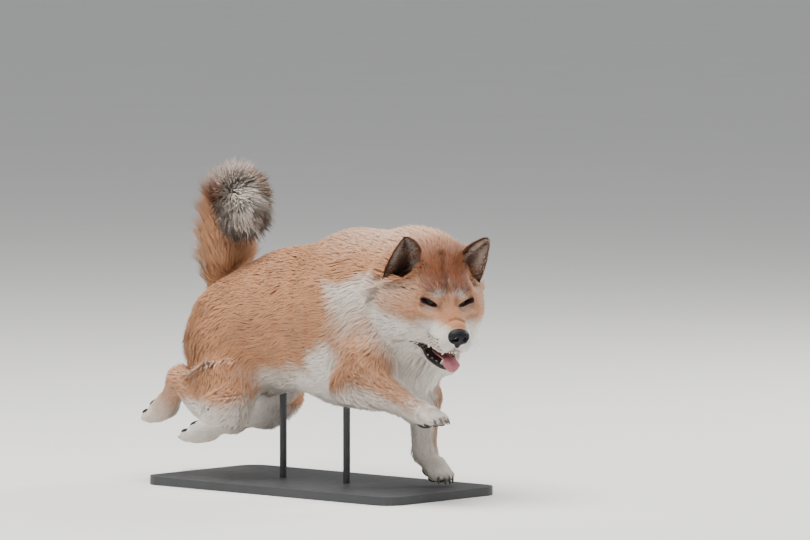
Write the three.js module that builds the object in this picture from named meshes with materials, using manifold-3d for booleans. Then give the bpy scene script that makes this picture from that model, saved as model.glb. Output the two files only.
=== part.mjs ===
// A life-size shiba inu in full gallop, head turned to its right, on a plain display stand.
// The coat's outer form is a field of soft bones and eggs, turned into closed meshes and parted
// where one named piece comes nearer than the next. Millimetres, +X ahead, +Y to the dog's left, +Z up.
import * as THREE from "three";
import { mergeVertices } from "three/addons/utils/BufferGeometryUtils.js";
import Module from "manifold-3d";

const wasm = await Module();
wasm.setup();

// Driving sizes
const GAP = 0.34; // clear space between two touching pieces
const PLATE = { length: 470, width: 230, thick: 12, corner: 30 };
const ROD_RADIUS = 5;
const RODS = { front: 50, rear: -70 }; // their places along X
const ARM = 82; // half the distance between the elbows
const STIFLE = 84; // half the distance between the knees
const HEAD_AT = [272, -42, 264]; // midway between the eyes
const HEAD_TURN = { yaw: -25, pitch: 18, roll: -2 }; // degrees: to its right, down, left side up
const EYE = { at: [-8, 20.5, 0.6], radius: 12, look: 35, half: [10.8, 5.4], slant: 20 };
const EAR = { inner: [-42, 28, 46], outer: [-62, 72, 0], tip: [-32, 63, 81], thick: 5, cup: 19 };
const MOUTH = { corner: [-15, -61], upper: [[26, -56], [39, -58], [74, -47]], lower: [[74, -76], [10, -75]] };
const PAW = { pad: 14.5, toe: 8.4, fan: 7.6 };
const CLAW = { long: 7, wide: 2.6 };
const rad = THREE.MathUtils.degToRad;

// Field primitives: each returns the signed distance, about, from a point to its surface
const bone = (a, b, ra, rb) => {
  const ab = [b[0] - a[0], b[1] - a[1], b[2] - a[2]];
  const long = Math.hypot(...ab);
  const lean = (ra - rb) / long;
  const rise = Math.sqrt(Math.max(0, 1 - lean * lean));
  return (x, y, z) => {
    const p = [x - a[0], y - a[1], z - a[2]];
    const along = (p[0] * ab[0] + p[1] * ab[1] + p[2] * ab[2]) / long;
    const aside = Math.sqrt(Math.max(0, p[0] ** 2 + p[1] ** 2 + p[2] ** 2 - along ** 2));
    const t = along + (aside * lean) / rise;
    if (t <= 0) return Math.hypot(aside, along) - ra;
    if (t >= long) return Math.hypot(aside, along - long) - rb;
    return aside * rise + along * lean - ra;
  };
};
const egg = (c, r, turn = [0, 0, 0]) => {
  const q = new THREE.Quaternion().setFromEuler(new THREE.Euler(...turn.map(rad), "ZYX")).invert();
  const m = new THREE.Matrix4().makeRotationFromQuaternion(q).elements;
  return (x, y, z) => {
    const [px, py, pz] = [x - c[0], y - c[1], z - c[2]];
    const u = (m[0] * px + m[4] * py + m[8] * pz) / r[0];
    const v = (m[1] * px + m[5] * py + m[9] * pz) / r[1];
    const w = (m[2] * px + m[6] * py + m[10] * pz) / r[2];
    const near = Math.hypot(u, v, w);
    const slope = Math.hypot(u / r[0], v / r[1], w / r[2]);
    return slope < 1e-9 ? -Math.min(...r) : (near * (near - 1)) / slope;
  };
};
const soft = (k, a, b) => {
  const h = Math.max(k - Math.abs(a - b), 0) / k;
  return Math.min(a, b) - (h * h * k) / 4;
};
const blend = (k, ...fields) => (x, y, z) => {
  let d = fields[0](x, y, z);
  for (let i = 1; i < fields.length; i++) d = soft(k, d, fields[i](x, y, z));
  return d;
};
const carve = (k, body, dent) => (x, y, z) => -soft(k, -body(x, y, z), dent(x, y, z));
const mirrored = (field) => (x, y, z) => field(x, Math.abs(y), z);
const framed = (matrix, field) => {
  const m = matrix.clone().invert().elements;
  return (x, y, z) =>
    field(
      m[0] * x + m[4] * y + m[8] * z + m[12],
      m[1] * x + m[5] * y + m[9] * z + m[13],
      m[2] * x + m[6] * y + m[10] * z + m[14],
    );
};

// Trunk: ribs, belly and croup, deep and well filled
const torso = blend(
  34,
  egg([62, 0, 218], [114, 94, 113]),
  egg([-45, 0, 221], [106, 90, 99]),
  egg([-102, 0, 226], [90, 76, 66]),
  egg([-134, 0, 205], [62, 72, 60]),
  egg([-2, 0, 264], [84, 56, 59]),
  egg([72, 0, 286], [78, 54, 57]),
  egg([116, 0, 200], [62, 76, 90]),
  egg([-96, -4, 128], [24, 12, 14]),
);

// Neck: a thick ruff from the withers to the back of the skull, and the throat under it
const neck = blend(
  34,
  bone([96, 0, 268], [188, -8, 286], 83, 77),
  bone([205, -14, 238], [146, 0, 200], 62, 70),
);

// Head, in its own frame: x ahead of the eyes, y to its left, z above them
const headFrame = new THREE.Matrix4()
  .makeTranslation(...HEAD_AT)
  .multiply(new THREE.Matrix4().makeRotationZ(rad(HEAD_TURN.yaw)))
  .multiply(new THREE.Matrix4().makeRotationY(rad(HEAD_TURN.pitch)))
  .multiply(new THREE.Matrix4().makeRotationX(rad(HEAD_TURN.roll)));
const cranium = blend(
  22,
  egg([-59, 0, 8], [52, 56, 54]),
  mirrored(egg([-46, 39, -27], [44, 36, 44])),
  mirrored(egg([-16, 17, 13], [24, 20, 14])),
  mirrored(egg([-8, 32, -16], [26, 20, 20])),
);
const muzzle = blend(
  12,
  bone([-6, 0, -20], [41, 0, -27], 29, 18),
  mirrored(egg([29, 13, -40], [30, 16, 18])),
);
const eyeDent = mirrored(egg([11, 27, 0], [9, 13, 8]));
const earDent = mirrored(egg([-30, 52, 26], [11, 14, 24], [-40, 0, 0]));
const headShape = carve(9, carve(12, blend(16, cranium, muzzle), earDent), eyeDent);
const head = framed(headFrame, headShape);
const jaw = framed(headFrame, bone([-34, 0, -56], [34, 0, -76], 31, 16));

// Limbs: each is a chain of named lengths from the trunk to the paw, with its joints' places
const side = { left: 1, right: -1 };
const limbs = {
  foreleg_right: {
    upper: [egg([150, -64, 205], [44, 27, 66], [0, 24, 0]), bone([162, -74, 180], [134, -ARM, 150], 36, 29)],
    lower: [bone([133, -ARM, 146], [166, -82, 153], 25, 32), bone([166, -82, 153], [248, -78, 118], 32, 17)],
    paw: { wrist: [250, -78, 117], toes: [291, -76, 107] },
  },
  foreleg_left: {
    upper: [egg([150, 64, 205], [44, 27, 66], [0, 20, 0]), bone([152, 70, 186], [122, 78, 166], 32, 28)],
    lower: [bone([122, 76, 168], [130, 70, 120], 27, 23), bone([130, 70, 120], [141, 60, 52], 23, 18)],
    paw: { wrist: [143, 59, 40], toes: [180, 58, 12] },
  },
  hindleg_right: {
    upper: [egg([-128, -54, 176], [64, 34, 86], [0, -14, 0]), bone([-114, -70, 140], [-100, -STIFLE, 106], 44, 35)],
    lower: [bone([-100, -STIFLE, 103], [-192, -77, 134], 35, 19), egg([-134, -78, 112], [46, 25, 34], [0, 16, 0])],
    foot: [bone([-194, -77, 134], [-228, -70, 96], 18, 15)],
    paw: { wrist: [-230, -70, 95], toes: [-259, -66, 76] },
  },
  hindleg_left: {
    upper: [egg([-138, 54, 176], [62, 34, 84], [0, -2, 0]), bone([-142, 70, 140], [-158, STIFLE, 108], 42, 34)],
    lower: [bone([-158, STIFLE, 106], [-238, 78, 66], 34, 19), egg([-186, 80, 86], [40, 24, 28], [0, 26, 0])],
    foot: [bone([-240, 78, 65], [-288, 75, 48], 17, 14)],
    paw: { wrist: [-288, 75, 48], toes: [-322, 73, 35] },
  },
};

// A paw: a pad and four toes fanned from the wrist, in the paw's own frame
const TOES = [-1.5, -0.5, 0.5, 1.5];
function pawOf({ wrist, toes }) {
  const from = new THREE.Vector3(...wrist);
  const ahead = new THREE.Vector3(...toes).sub(from);
  const long = ahead.length();
  ahead.normalize();
  const across = new THREE.Vector3(0, 1, 0).addScaledVector(ahead, -ahead.y).normalize();
  const up = new THREE.Vector3().crossVectors(ahead, across);
  const frame = new THREE.Matrix4().makeBasis(ahead, across, up).setPosition(from);
  const tips = TOES.map((n) => [long - 1 - Math.abs(n) * 3.5, n * PAW.fan * 1.25, 1 - Math.abs(n) * 1.5]);
  const shapes = [
    bone([-2, 0, 0], [long * 0.5, 0, 0], PAW.pad + 1, PAW.pad),
    ...TOES.map((n, i) => bone([long * 0.4, n * PAW.fan, 2], tips[i], PAW.toe + 1, PAW.toe)),
    egg([long * 0.45, 0, -8], [13, 14, 8]),
  ];
  return { frame, tips, field: framed(frame, blend(6, ...shapes)) };
}

// Tail: its line rises from the croup, curls ahead and to the right, and ends facing the camera's side
const tailLine = new THREE.CatmullRomCurve3(
  [
    [-170, 0, 236],
    [-177, 1, 286],
    [-180, 1, 338],
    [-168, -4, 381],
    [-142, -18, 392],
    [-116, -34, 374],
  ].map((p) => new THREE.Vector3(...p)),
);
const TAIL = { core: 20, brush: [43, 46, 50, 53, 46], rows: 7, around: 6, wide: 16, thick: 5.5 };
const BREECH = { rows: 4, long: 28, wide: 12, thick: 6 };
const tailCore = blend(
  10,
  ...[0, 1, 2, 3, 4, 5, 6, 7].map((i) => {
    const [a, b] = [tailLine.getPoint(i / 8).toArray(), tailLine.getPoint((i + 1) / 8).toArray()];
    return bone(a, b, TAIL.core + 3 - i * 0.6, TAIL.core + 3 - (i + 1) * 0.6);
  }),
);

// The dog's pieces, outermost first. Each parts from those after it where it is the nearer one
const trunk = (x, y, z) => soft(30, soft(34, torso(x, y, z), neck(x, y, z)), head(x, y, z));
const pieces = [];
const paws = {};
for (const [name, limb] of Object.entries(limbs)) {
  const paw = pawOf(limb.paw);
  paws[name] = paw;
  const which = name.split("_")[1];
  const names = limb.foot
    ? [`hindpaw_${which}`, `hock_${which}`, `gaskin_${which}`, `thigh_${which}`]
    : [`forepaw_${which}`, `forearm_${which}`, `shoulder_${which}`];
  const upper = blend(22, ...limb.upper);
  const lower = blend(16, ...limb.lower);
  const foot = limb.foot && blend(8, ...limb.foot);
  const chain = [paw.field, ...(foot ? [foot] : []), lower, upper];
  const whole = blend(14, ...chain);
  const rootBlend = foot ? 30 : 26;
  const skin = (x, y, z) => soft(rootBlend, whole(x, y, z), torso(x, y, z));
  const size = foot ? [10, 14, 18, 25] : [10, 17, 25];
  chain.forEach((field, i) => pieces.push({ name: names[i], field, skin, cell: size[i] }));
}
const bodySkin = (x, y, z) => {
  let d = trunk(x, y, z);
  for (const p of pieces) if (/shoulder|thigh/.test(p.name)) d = Math.min(d, p.skin(x, y, z));
  return d;
};
const headSkin = (x, y, z) => soft(12, trunk(x, y, z), jaw(x, y, z));
pieces.push(
  { name: "tail", field: tailCore, skin: (x, y, z) => soft(14, tailCore(x, y, z), torso(x, y, z)), cell: 17 },
  { name: "jaw", field: jaw, skin: headSkin, cell: 10 },
  { name: "head", field: head, skin: headSkin, cell: 11 },
  { name: "neck", field: neck, skin: bodySkin, cell: 31 },
  { name: "torso", field: torso, skin: bodySkin, cell: 34 },
);

// A closed mesh of the surface where the field is zero, or stands off from it by offset: one vertex
// for each patch of surface in a cell, moved onto the surface, and one square for each grid edge
// that crosses it. The same box and cell give like facets at every offset, so they stay apart
function surface(field, box, cell, offset = 0) {
  const n = [0, 1, 2].map((i) => Math.ceil((box.max.getComponent(i) - box.min.getComponent(i)) / cell) + 3);
  const o = box.min.toArray().map((v) => v - cell * 1.37);
  const at = (i, j, k) => (k * n[1] + j) * n[0] + i;
  const value = new Float64Array(n[0] * n[1] * n[2]);
  for (let k = 0; k < n[2]; k++)
    for (let j = 0; j < n[1]; j++)
      for (let i = 0; i < n[0]; i++) {
        const rim = [i, j, k].some((v, a) => v === 0 || v === n[a] - 1);
        const f = field(o[0] + i * cell, o[1] + j * cell, o[2] + k * cell);
        value[at(i, j, k)] = rim ? Math.max(f, cell * 0.5) : f || 1e-9;
      }
  const slope = (p) => {
    const e = 0.5;
    return new THREE.Vector3(
      field(p.x + e, p.y, p.z) - field(p.x - e, p.y, p.z),
      field(p.x, p.y + e, p.z) - field(p.x, p.y - e, p.z),
      field(p.x, p.y, p.z + e) - field(p.x, p.y, p.z - e),
    ).divideScalar(2 * e);
  };
  const corner = [0, 1, 2, 3, 4, 5, 6, 7].map((c) => [c & 1, (c >> 1) & 1, (c >> 2) & 1]);
  const verts = [];
  const vertOf = new Map();
  for (let k = 0; k < n[2] - 1; k++)
    for (let j = 0; j < n[1] - 1; j++)
      for (let i = 0; i < n[0] - 1; i++) {
        const v = corner.map(([a, b, c]) => value[at(i + a, j + b, k + c)]);
        const onRim = [i, j, k].some((w, a) => w === 0 || w === n[a] - 2);
        const inside = v.map((f) => f < 0);
        const count = inside.filter(Boolean).length;
        if (count === 0 || count === 8) continue;
        const group = inside.map((s, c) => (s ? c : -1));
        for (let pass = 0; pass < 5; pass++)
          for (let c = 0; c < 8; c++)
            for (const bit of [1, 2, 4]) {
              const d = c ^ bit;
              if (group[c] >= 0 && group[d] >= 0) group[c] = group[d] = Math.min(group[c], group[d]);
            }
        for (const g of new Set(group.filter((x) => x >= 0))) {
          const p = new THREE.Vector3();
          let crossings = 0;
          for (let c = 0; c < 8; c++)
            for (const bit of [1, 2, 4]) {
              const d = c ^ bit;
              if (group[c] !== g || inside[d]) continue;
              const t = v[c] / (v[c] - v[d]);
              p.x += o[0] + (i + corner[c][0] + t * (corner[d][0] - corner[c][0])) * cell;
              p.y += o[1] + (j + corner[c][1] + t * (corner[d][1] - corner[c][1])) * cell;
              p.z += o[2] + (k + corner[c][2] + t * (corner[d][2] - corner[c][2])) * cell;
              crossings++;
            }
          p.divideScalar(crossings);
          let s = slope(p);
          for (let step = 0; step < 3 && !onRim; step++) {
            const f = field(p.x, p.y, p.z);
            p.addScaledVector(s, THREE.MathUtils.clamp(-f / Math.max(s.lengthSq(), 0.2), -cell * 0.3, cell * 0.3));
            s = slope(p);
          }
          const seat = new THREE.Vector3(o[0] + i * cell, o[1] + j * cell, o[2] + k * cell);
          p.clamp(seat, seat.clone().addScalar(cell));
          for (let c = 0; c < 8; c++) if (group[c] === g) vertOf.set(at(i, j, k) * 8 + c, verts.length / 3);
          verts.push(p.x, p.y, p.z);
        }
      }
  const tris = [];
  const quad = (a, b, c, d, flip) => (flip ? tris.push(a, c, b, a, d, c) : tris.push(a, b, c, a, c, d));
  for (let k = 0; k < n[2] - 1; k++)
    for (let j = 0; j < n[1] - 1; j++)
      for (let i = 0; i < n[0] - 1; i++)
        for (const axis of [0, 1, 2]) {
          const step = [0, 0, 0];
          step[axis] = 1;
          const [b, c] = [(axis + 1) % 3, (axis + 2) % 3];
          const here = value[at(i, j, k)] < 0;
          const there = value[at(i + step[0], j + step[1], k + step[2])] < 0;
          if (here === there) continue;
          const seat = here ? [i, j, k] : [i + step[0], j + step[1], k + step[2]];
          const ring = [[1, 1], [0, 1], [0, 0], [1, 0]].map(([db, dc]) => {
            const cellAt = [i, j, k];
            cellAt[b] -= db;
            cellAt[c] -= dc;
            const local = seat.map((s, a) => s - cellAt[a]);
            return vertOf.get(at(...cellAt) * 8 + local[0] + 2 * local[1] + 4 * local[2]);
          });
          quad(...ring, !here);
        }
  if (!offset) return solid(verts, tris);
  const g = new THREE.BufferGeometry()
    .setAttribute("position", new THREE.Float32BufferAttribute(verts, 3))
    .setIndex(tris);
  g.computeVertexNormals();
  const normals = g.attributes.normal.array;
  return solid(verts.map((v, i) => v + normals[i] * offset), tris);
}
const solid = (verts, tris) =>
  new wasm.Manifold(
    new wasm.Mesh({ numProp: 3, vertProperties: new Float32Array(verts), triVerts: new Uint32Array(tris) }),
  );
const solidFrom = (geometry, matrix = new THREE.Matrix4()) => {
  const g = geometry.clone();
  g.deleteAttribute("normal");
  g.deleteAttribute("uv");
  g.applyMatrix4(matrix);
  const m = mergeVertices(g, 1e-4);
  return solid(m.attributes.position.array, m.index.array);
};
const largest = (made) => made.decompose().sort((a, b) => b.volume() - a.volume())[0];
const joined = (first, ...more) => more.reduce((sum, m) => sum.add(m), first);

// A closed skin over rings of points, from the first ring's cap to the last ring's
function loft(rings) {
  const n = rings[0].length;
  const verts = [];
  const tris = [];
  const middle = (ring) => ring.reduce((s, p) => s.add(p), new THREE.Vector3()).divideScalar(n);
  rings.forEach((ring) => ring.forEach((p) => verts.push(p.x, p.y, p.z)));
  const ends = [middle(rings[0]), middle(rings.at(-1))];
  ends.forEach((p) => verts.push(p.x, p.y, p.z));
  const last = (rings.length - 1) * n;
  for (let i = 0; i < n; i++) {
    const j = (i + 1) % n;
    for (let r = 0; r < last; r += n) tris.push(r + i, r + j, r + n + j, r + i, r + n + j, r + n + i);
    tris.push(last + n, j, i, last + n + 1, last + i, last + j);
  }
  const made = solid(verts, tris);
  return made.volume() < 0 ? solid(verts, flipped(tris)) : made;
}
const flipped = (tris) => tris.flatMap((v, i) => (i % 3 === 1 ? [tris[i + 1]] : i % 3 === 2 ? [tris[i - 1]] : [v]));

// A tapering tube along points, and a closed ring round a loop of points
function headings(points, closed) {
  const n = points.length;
  return points.map((p, i) => {
    const before = points[closed ? (i + n - 1) % n : Math.max(i - 1, 0)];
    const after = points[closed ? (i + 1) % n : Math.min(i + 1, n - 1)];
    return after.clone().sub(before).normalize();
  });
}
function tube(points, radiusAt, sides) {
  const along = headings(points, false);
  let across = new THREE.Vector3(0.31, 0.52, 0.8).cross(along[0]).normalize();
  return loft(
    points.map((p, i) => {
      across = across.clone().addScaledVector(along[i], -across.dot(along[i])).normalize();
      const up = new THREE.Vector3().crossVectors(along[i], across);
      return Array.from({ length: sides }, (_, k) => {
        const turn = (k / sides) * 2 * Math.PI;
        const r = radiusAt(i / (points.length - 1));
        return p.clone().addScaledVector(across, r * Math.cos(turn)).addScaledVector(up, r * Math.sin(turn));
      });
    }),
  );
}
function ring(points, radius, sides) {
  const along = headings(points, true);
  const middle = points.reduce((sum, p) => sum.add(p), new THREE.Vector3()).divideScalar(points.length);
  const rings = points.map((p, i) => {
    const out = p.clone().sub(middle);
    out.addScaledVector(along[i], -out.dot(along[i])).normalize();
    const up = new THREE.Vector3().crossVectors(along[i], out);
    return Array.from({ length: sides }, (_, k) => {
      const turn = (k / sides) * 2 * Math.PI;
      return p.clone().addScaledVector(out, radius * Math.cos(turn)).addScaledVector(up, radius * Math.sin(turn));
    });
  });
  const verts = rings.flat().flatMap((p) => [p.x, p.y, p.z]);
  const tris = [];
  const at = (i, k) => (i % rings.length) * sides + (k % sides);
  for (let i = 0; i < rings.length; i++)
    for (let k = 0; k < sides; k++)
      tris.push(at(i, k), at(i, k + 1), at(i + 1, k + 1), at(i, k), at(i + 1, k + 1), at(i + 1, k));
  const made = solid(verts, tris);
  return made.volume() < 0 ? solid(verts, flipped(tris)) : made;
}

// Boxes round each piece, read from its own field on a coarse grid
function boxOf(field, margin, step = 14) {
  const box = new THREE.Box3();
  for (let x = -380; x <= 380; x += step)
    for (let y = -150; y <= 150; y += step)
      for (let z = -20; z <= 460; z += step)
        if (field(x, y, z) < step) box.expandByPoint(new THREE.Vector3(x, y, z));
  return box.expandByScalar(margin);
}

// Part the body: each piece keeps its own share, and loses what earlier neighbours took with the gap
const made = {};
const shares = {};
const boxes = {};
const grown = (name) => {
  const piece = pieces.find((p) => p.name === name);
  return surface(piece.skin, boxes[name], piece.cell, GAP);
};
function clipped(name, body) {
  let kept = shares[name].keep ? body.intersect(shares[name].keep) : body;
  for (const earlier of pieces.slice(0, pieces.findIndex((p) => p.name === name)))
    if (boxes[earlier.name].intersectsBox(boxes[name])) kept = kept.subtract(shares[earlier.name].claimed);
  return kept;
}
const clear = (body, name) =>
  pieces
    .filter((p) => p.name !== name && boxes[p.name].intersectsBox(boxes[name]))
    .reduce((kept, p) => kept.subtract(grown(p.name)), body);
pieces.forEach((piece, i) => {
  const others = pieces.slice(i + 1).map((p) => p.field);
  const share = (x, y, z) => {
    let rival = Infinity;
    for (const f of others) rival = Math.min(rival, f(x, y, z));
    return (piece.field(x, y, z) - rival) / 2;
  };
  const box = boxOf(piece.field, 18);
  const coarse = piece.cell * 1.9;
  boxes[piece.name] = box;
  shares[piece.name] = others.length
    ? { keep: surface(share, box, coarse, -GAP / 2), claimed: surface(share, box, coarse, GAP / 2) }
    : {};
  made[piece.name] = largest(clipped(piece.name, surface(piece.skin, box, piece.cell)));
});

// Cutters and joins on the head, all in its own frame
const onHead = (p) => new THREE.Vector3(...p).applyMatrix4(headFrame);
const grownHead = grown("head");
const ball = (at, r) =>
  solidFrom(new THREE.SphereGeometry(r, 12, 9), new THREE.Matrix4().setPosition(...onHead(at).toArray()));

// The open mouth: a wedge from its corners to the lips, right through
const mouthLine = new THREE.Shape(
  [MOUTH.corner, ...MOUTH.upper, ...MOUTH.lower].map(([x, z]) => new THREE.Vector2(x, z)),
);
const wide = 150;
const wedge = solidFrom(
  new THREE.ExtrudeGeometry(mouthLine, { depth: wide, bevelEnabled: false }),
  headFrame
    .clone()
    .multiply(new THREE.Matrix4().makeTranslation(0, wide / 2, 0))
    .multiply(new THREE.Matrix4().makeRotationX(Math.PI / 2)),
);
made.head = made.head.subtract(wedge);
made.jaw = made.jaw.subtract(wedge);

// Where a level ray from inside the muzzle comes out, at a height that follows the lip
const heightOn = (line, x) => {
  const points = [MOUTH.corner, ...line].sort((a, b) => a[0] - b[0]);
  for (let i = 1; i < points.length; i++)
    if (x <= points[i][0] || i === points.length - 1) {
      const [[x0, z0], [x1, z1]] = [points[i - 1], points[i]];
      return z0 + ((z1 - z0) * (x - x0)) / (x1 - x0);
    }
};
function lipPoint(turn, line, lift, skin, sink) {
  const from = 14;
  let r = 60;
  for (; r > 4; r -= 0.5) {
    const [x, y] = [from + r * Math.cos(turn), r * Math.sin(turn)];
    const z = heightOn(line, x) + lift;
    if (skin(...onHead([x, y, z]).toArray()) < -sink) return onHead([x, y, z]);
  }
  return onHead([from, 0, heightOn(line, from) + lift]);
}
const LIP = { from: 130, steps: 10, radius: 2.3 };
const lipRound = (line, lift, skin) =>
  tube(
    Array.from({ length: LIP.steps + 1 }, (_, i) =>
      lipPoint(rad(LIP.from * (2 * (i / LIP.steps) - 1)), line, lift, skin, LIP.radius * 0.45),
    ),
    () => LIP.radius,
    4,
  );
made.head = made.head.add(clipped("head", lipRound(MOUTH.upper, 1.6, head)));
made.jaw = made.jaw.add(clipped("jaw", lipRound([...MOUTH.lower].reverse(), -1.6, jaw)));

// Teeth of the lower jaw: front six, two canines and the cheek teeth, seated on its cut face
const jawFloor = (x) => heightOn([...MOUTH.lower].reverse(), x);
const tooth = (x, y, tall, thick, lean = 0) =>
  tube(
    [-3, tall * 0.5, tall].map((up) => onHead([x + lean * up * up * 0.01, y, jawFloor(x) + up])),
    (t) => thick * [1, 0.8, 0.15][Math.round(t * 2)],
    4,
  );
const teeth = [];
for (const s of [1, -1]) {
  for (const n of [0, 1, 2]) teeth.push(tooth(44 - n * 1.4, s * (1.9 + n * 2.8), 3.6, 1.5));
  teeth.push(tooth(37, s * 9.6, 10, 2.6, 1.6));
  for (const n of [0, 1]) teeth.push(tooth(25 - n * 11, s * (13.5 + n * 3.4), 4.4 + n, 3.8));
}
made.jaw = joined(made.jaw, ...teeth);

// Eyes: each a ball in a socket, seen through an almond between two raised lids
const eyes = {};
for (const [which, s] of Object.entries(side)) {
  const at = [EYE.at[0], s * EYE.at[1], EYE.at[2]];
  const look = new THREE.Vector3(Math.cos(rad(EYE.look)), s * Math.sin(rad(EYE.look)), 0);
  const long = new THREE.Vector3(-look.y, look.x, 0).applyAxisAngle(look, s * rad(EYE.slant));
  const up = new THREE.Vector3(0, 0, 1).applyAxisAngle(look, s * rad(EYE.slant));
  const rim = (reach, grow, n = 12) =>
    Array.from({ length: n }, (_, i) => {
      const turn = (i / n) * 2 * Math.PI;
      const a = (EYE.half[0] + grow) * Math.cos(turn);
      const b = (EYE.half[1] + grow) * Math.sin(turn) * (Math.sin(turn) > 0 ? 1 : 0.8);
      const depth = Math.sqrt(Math.max(reach * reach - a * a - b * b, 1));
      const p = new THREE.Vector3(...at).addScaledVector(long, a).addScaledVector(up, b);
      return onHead(p.addScaledVector(look, depth).toArray());
    });
  const almond = (depth, grow) =>
    rim(30, grow).map((p) => p.addScaledVector(look.clone().transformDirection(headFrame), depth));
  made.head = made.head.subtract(loft([almond(-26, -1), almond(0, 3)]));
  made.head = made.head.add(ring(rim(EYE.radius + 1.3, 0.9, 12), 1.9, 4));
  made.head = made.head.subtract(ball(at, EYE.radius + GAP));
  eyes[`eye_${which}`] = ball(at, EYE.radius);
}
made.head = largest(made.head);
Object.assign(made, eyes);

// Nose leather with two comma-shaped nostrils, seated on the muzzle
const noseShape = blend(
  5,
  egg([56, 0, -26], [9, 14.5, 10]),
  mirrored(egg([56, 7, -29], [8, 7, 8])),
  egg([55, 0, -36], [6, 4, 8]),
);
const nostrils = mirrored(
  blend(2, bone([70, 6.5, -28], [57, 6, -28], 3.4, 2.4), bone([62, 8, -29], [60, 14, -32], 2, 1.6)),
);
const nose = framed(headFrame, carve(1.5, noseShape, nostrils));
made.nose = largest(surface(nose, boxOf(nose, 8, 5), 4.2).subtract(grownHead));

// Tongue: broad and thin, over the lower teeth and drooping at the tip
const tongueLine = [[-4, -1, -70], [14, -1, -69], [33, -2, -67.6], [45, -3, -66], [56, -4, -69], [62, -4, -77]];
const tongueWide = [10, 11, 5.8, 7, 13, 9];
const tongue = loft(
  tongueLine.map(([x, y, z], i) => {
    const lean = [0, 0, 0, 0.1, 0.6, 1.1][i];
    return Array.from({ length: 10 }, (_, k) => {
      const turn = (k / 10) * 2 * Math.PI;
      const thick = 2.5 * Math.sin(turn) + 0.9 * Math.cos(turn) ** 4;
      return onHead([x + thick * Math.sin(lean), y + tongueWide[i] * Math.cos(turn), z + thick * Math.cos(lean)]);
    });
  }),
);
made.tongue = largest(tongue.subtract(grown("jaw").subtract(wedge)));

// Ears: cupped triangles, open ahead and outward, each set in a pocket of the skull and the ruff
const EAR_ROWS = [-0.3, 0, 0.26, 0.5, 0.72, 0.88, 1];
const ACROSS = [0, 0.17, 0.38, 0.62, 0.83, 1];
for (const [which, s] of Object.entries(side)) {
  const [inner, outer, tip] = [EAR.inner, EAR.outer, EAR.tip].map(([x, y, z]) => new THREE.Vector3(x, s * y, z));
  const open = new THREE.Vector3(0.86, s * 0.46, 0.22).normalize();
  const foot = inner.clone().add(outer).multiplyScalar(0.5);
  const outward = outer.clone().sub(inner).normalize();
  const earRings = (frontAt, backAt, wider, lower) =>
    EAR_ROWS.map((t) => {
      const up = Math.max(t, 0);
      const swell = 6 * Math.sin(Math.PI * up) + 4.5 * up + wider;
      const a = inner.clone().lerp(tip, up).addScaledVector(outward, -swell);
      const b = outer.clone().lerp(tip, up).addScaledVector(outward, swell);
      const drop = tip.clone().sub(foot).multiplyScalar(Math.min(t, 0) * lower);
      const row = (ahead, steps) =>
        steps.map((u) => onHead(a.clone().lerp(b, u).add(drop).addScaledVector(open, ahead(t, u)).toArray()));
      return [...row(frontAt, ACROSS), ...row(backAt, [...ACROSS].reverse())];
    });
  const narrowing = (t) => 1 - Math.max(t, 0);
  const hollow = (t, u) => EAR.cup * narrowing(t) ** 0.8 * Math.sin(Math.PI * u) ** 0.8;
  const back = (t, u) => -hollow(t, u) - EAR.thick * (0.45 + 0.55 * narrowing(t));
  const ahead = (t, u) => GAP + 11 * Math.sin(Math.PI * u) * narrowing(t);
  const pocket = loft(earRings(ahead, (t, u) => back(t, u) - GAP, GAP, 1.05));
  made.head = largest(made.head.subtract(pocket));
  made.neck = largest(made.neck.subtract(pocket));
  made[`ear_${which}`] = loft(earRings((t, u) => (t < 0 ? 0 : -hollow(t, u)), back, 0, 1));
}

// Locks: flat, tapered and bent, each from a root sunk in its node to a free tip
let draw = 20011;
const vary = (low, high) => {
  draw = (draw * 16807) % 2147483647;
  return low + ((high - low) * draw) / 2147483647;
};
function lock(root, out, sweep, long, wide, thick) {
  const heading = (t) => out.clone().multiplyScalar(1 - 0.75 * t).addScaledVector(sweep, 0.35 + 0.75 * t).normalize();
  const across = new THREE.Vector3().crossVectors(sweep, out).normalize();
  const p = root.clone();
  const rings = [0, 0.5, 1].map((t, i) => {
    if (i) p.addScaledVector(heading(t), long * 0.5);
    const face = new THREE.Vector3().crossVectors(heading(t), across).normalize();
    const slim = [0.85, 1, 0.1][i];
    return [[1, 0], [0, 0.8], [-1, 0]].map(([a, b]) =>
      p.clone().addScaledVector(across, a * wide * slim).addScaledVector(face, b * thick * slim * (1 - 0.4 * t)),
    );
  });
  return loft(rings);
}

// Tail brush: rows of locks round the core, longest on the outside of the curl
const brush = [];
const lastRow = TAIL.rows - 1;
for (let n = 0; n < TAIL.rows * TAIL.around; n++) {
  const [row, k] = [Math.floor(n / TAIL.around), n % TAIL.around];
  const t = 0.1 + (0.88 * Math.min(Math.max(row + vary(-0.45, 0.45), 0), lastRow)) / lastRow;
  const along = tailLine.getTangent(t);
  const north = new THREE.Vector3(0, 1, 0).addScaledVector(along, -along.y).normalize();
  const east = new THREE.Vector3().crossVectors(along, north);
  const place = Math.min(t, 0.999) * (TAIL.brush.length - 1);
  const [low, part] = [Math.floor(place), place % 1];
  const reach = TAIL.brush[low] * (1 - part) + TAIL.brush[low + 1] * part;
  const turn = ((k + (row % 2) / 2 + vary(-0.12, 0.12)) / TAIL.around) * 2 * Math.PI;
  const out = north.clone().multiplyScalar(Math.cos(turn)).addScaledVector(east, Math.sin(turn));
  const root = tailLine.getPoint(t).addScaledVector(out, TAIL.core * 0.62);
  const long = (reach - TAIL.core * 0.6) * vary(1.36, 1.54);
  brush.push(lock(root, out, along, long, TAIL.wide * vary(0.9, 1.15), TAIL.thick));
}
const tailEnd = tailLine.getTangent(1);
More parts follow.
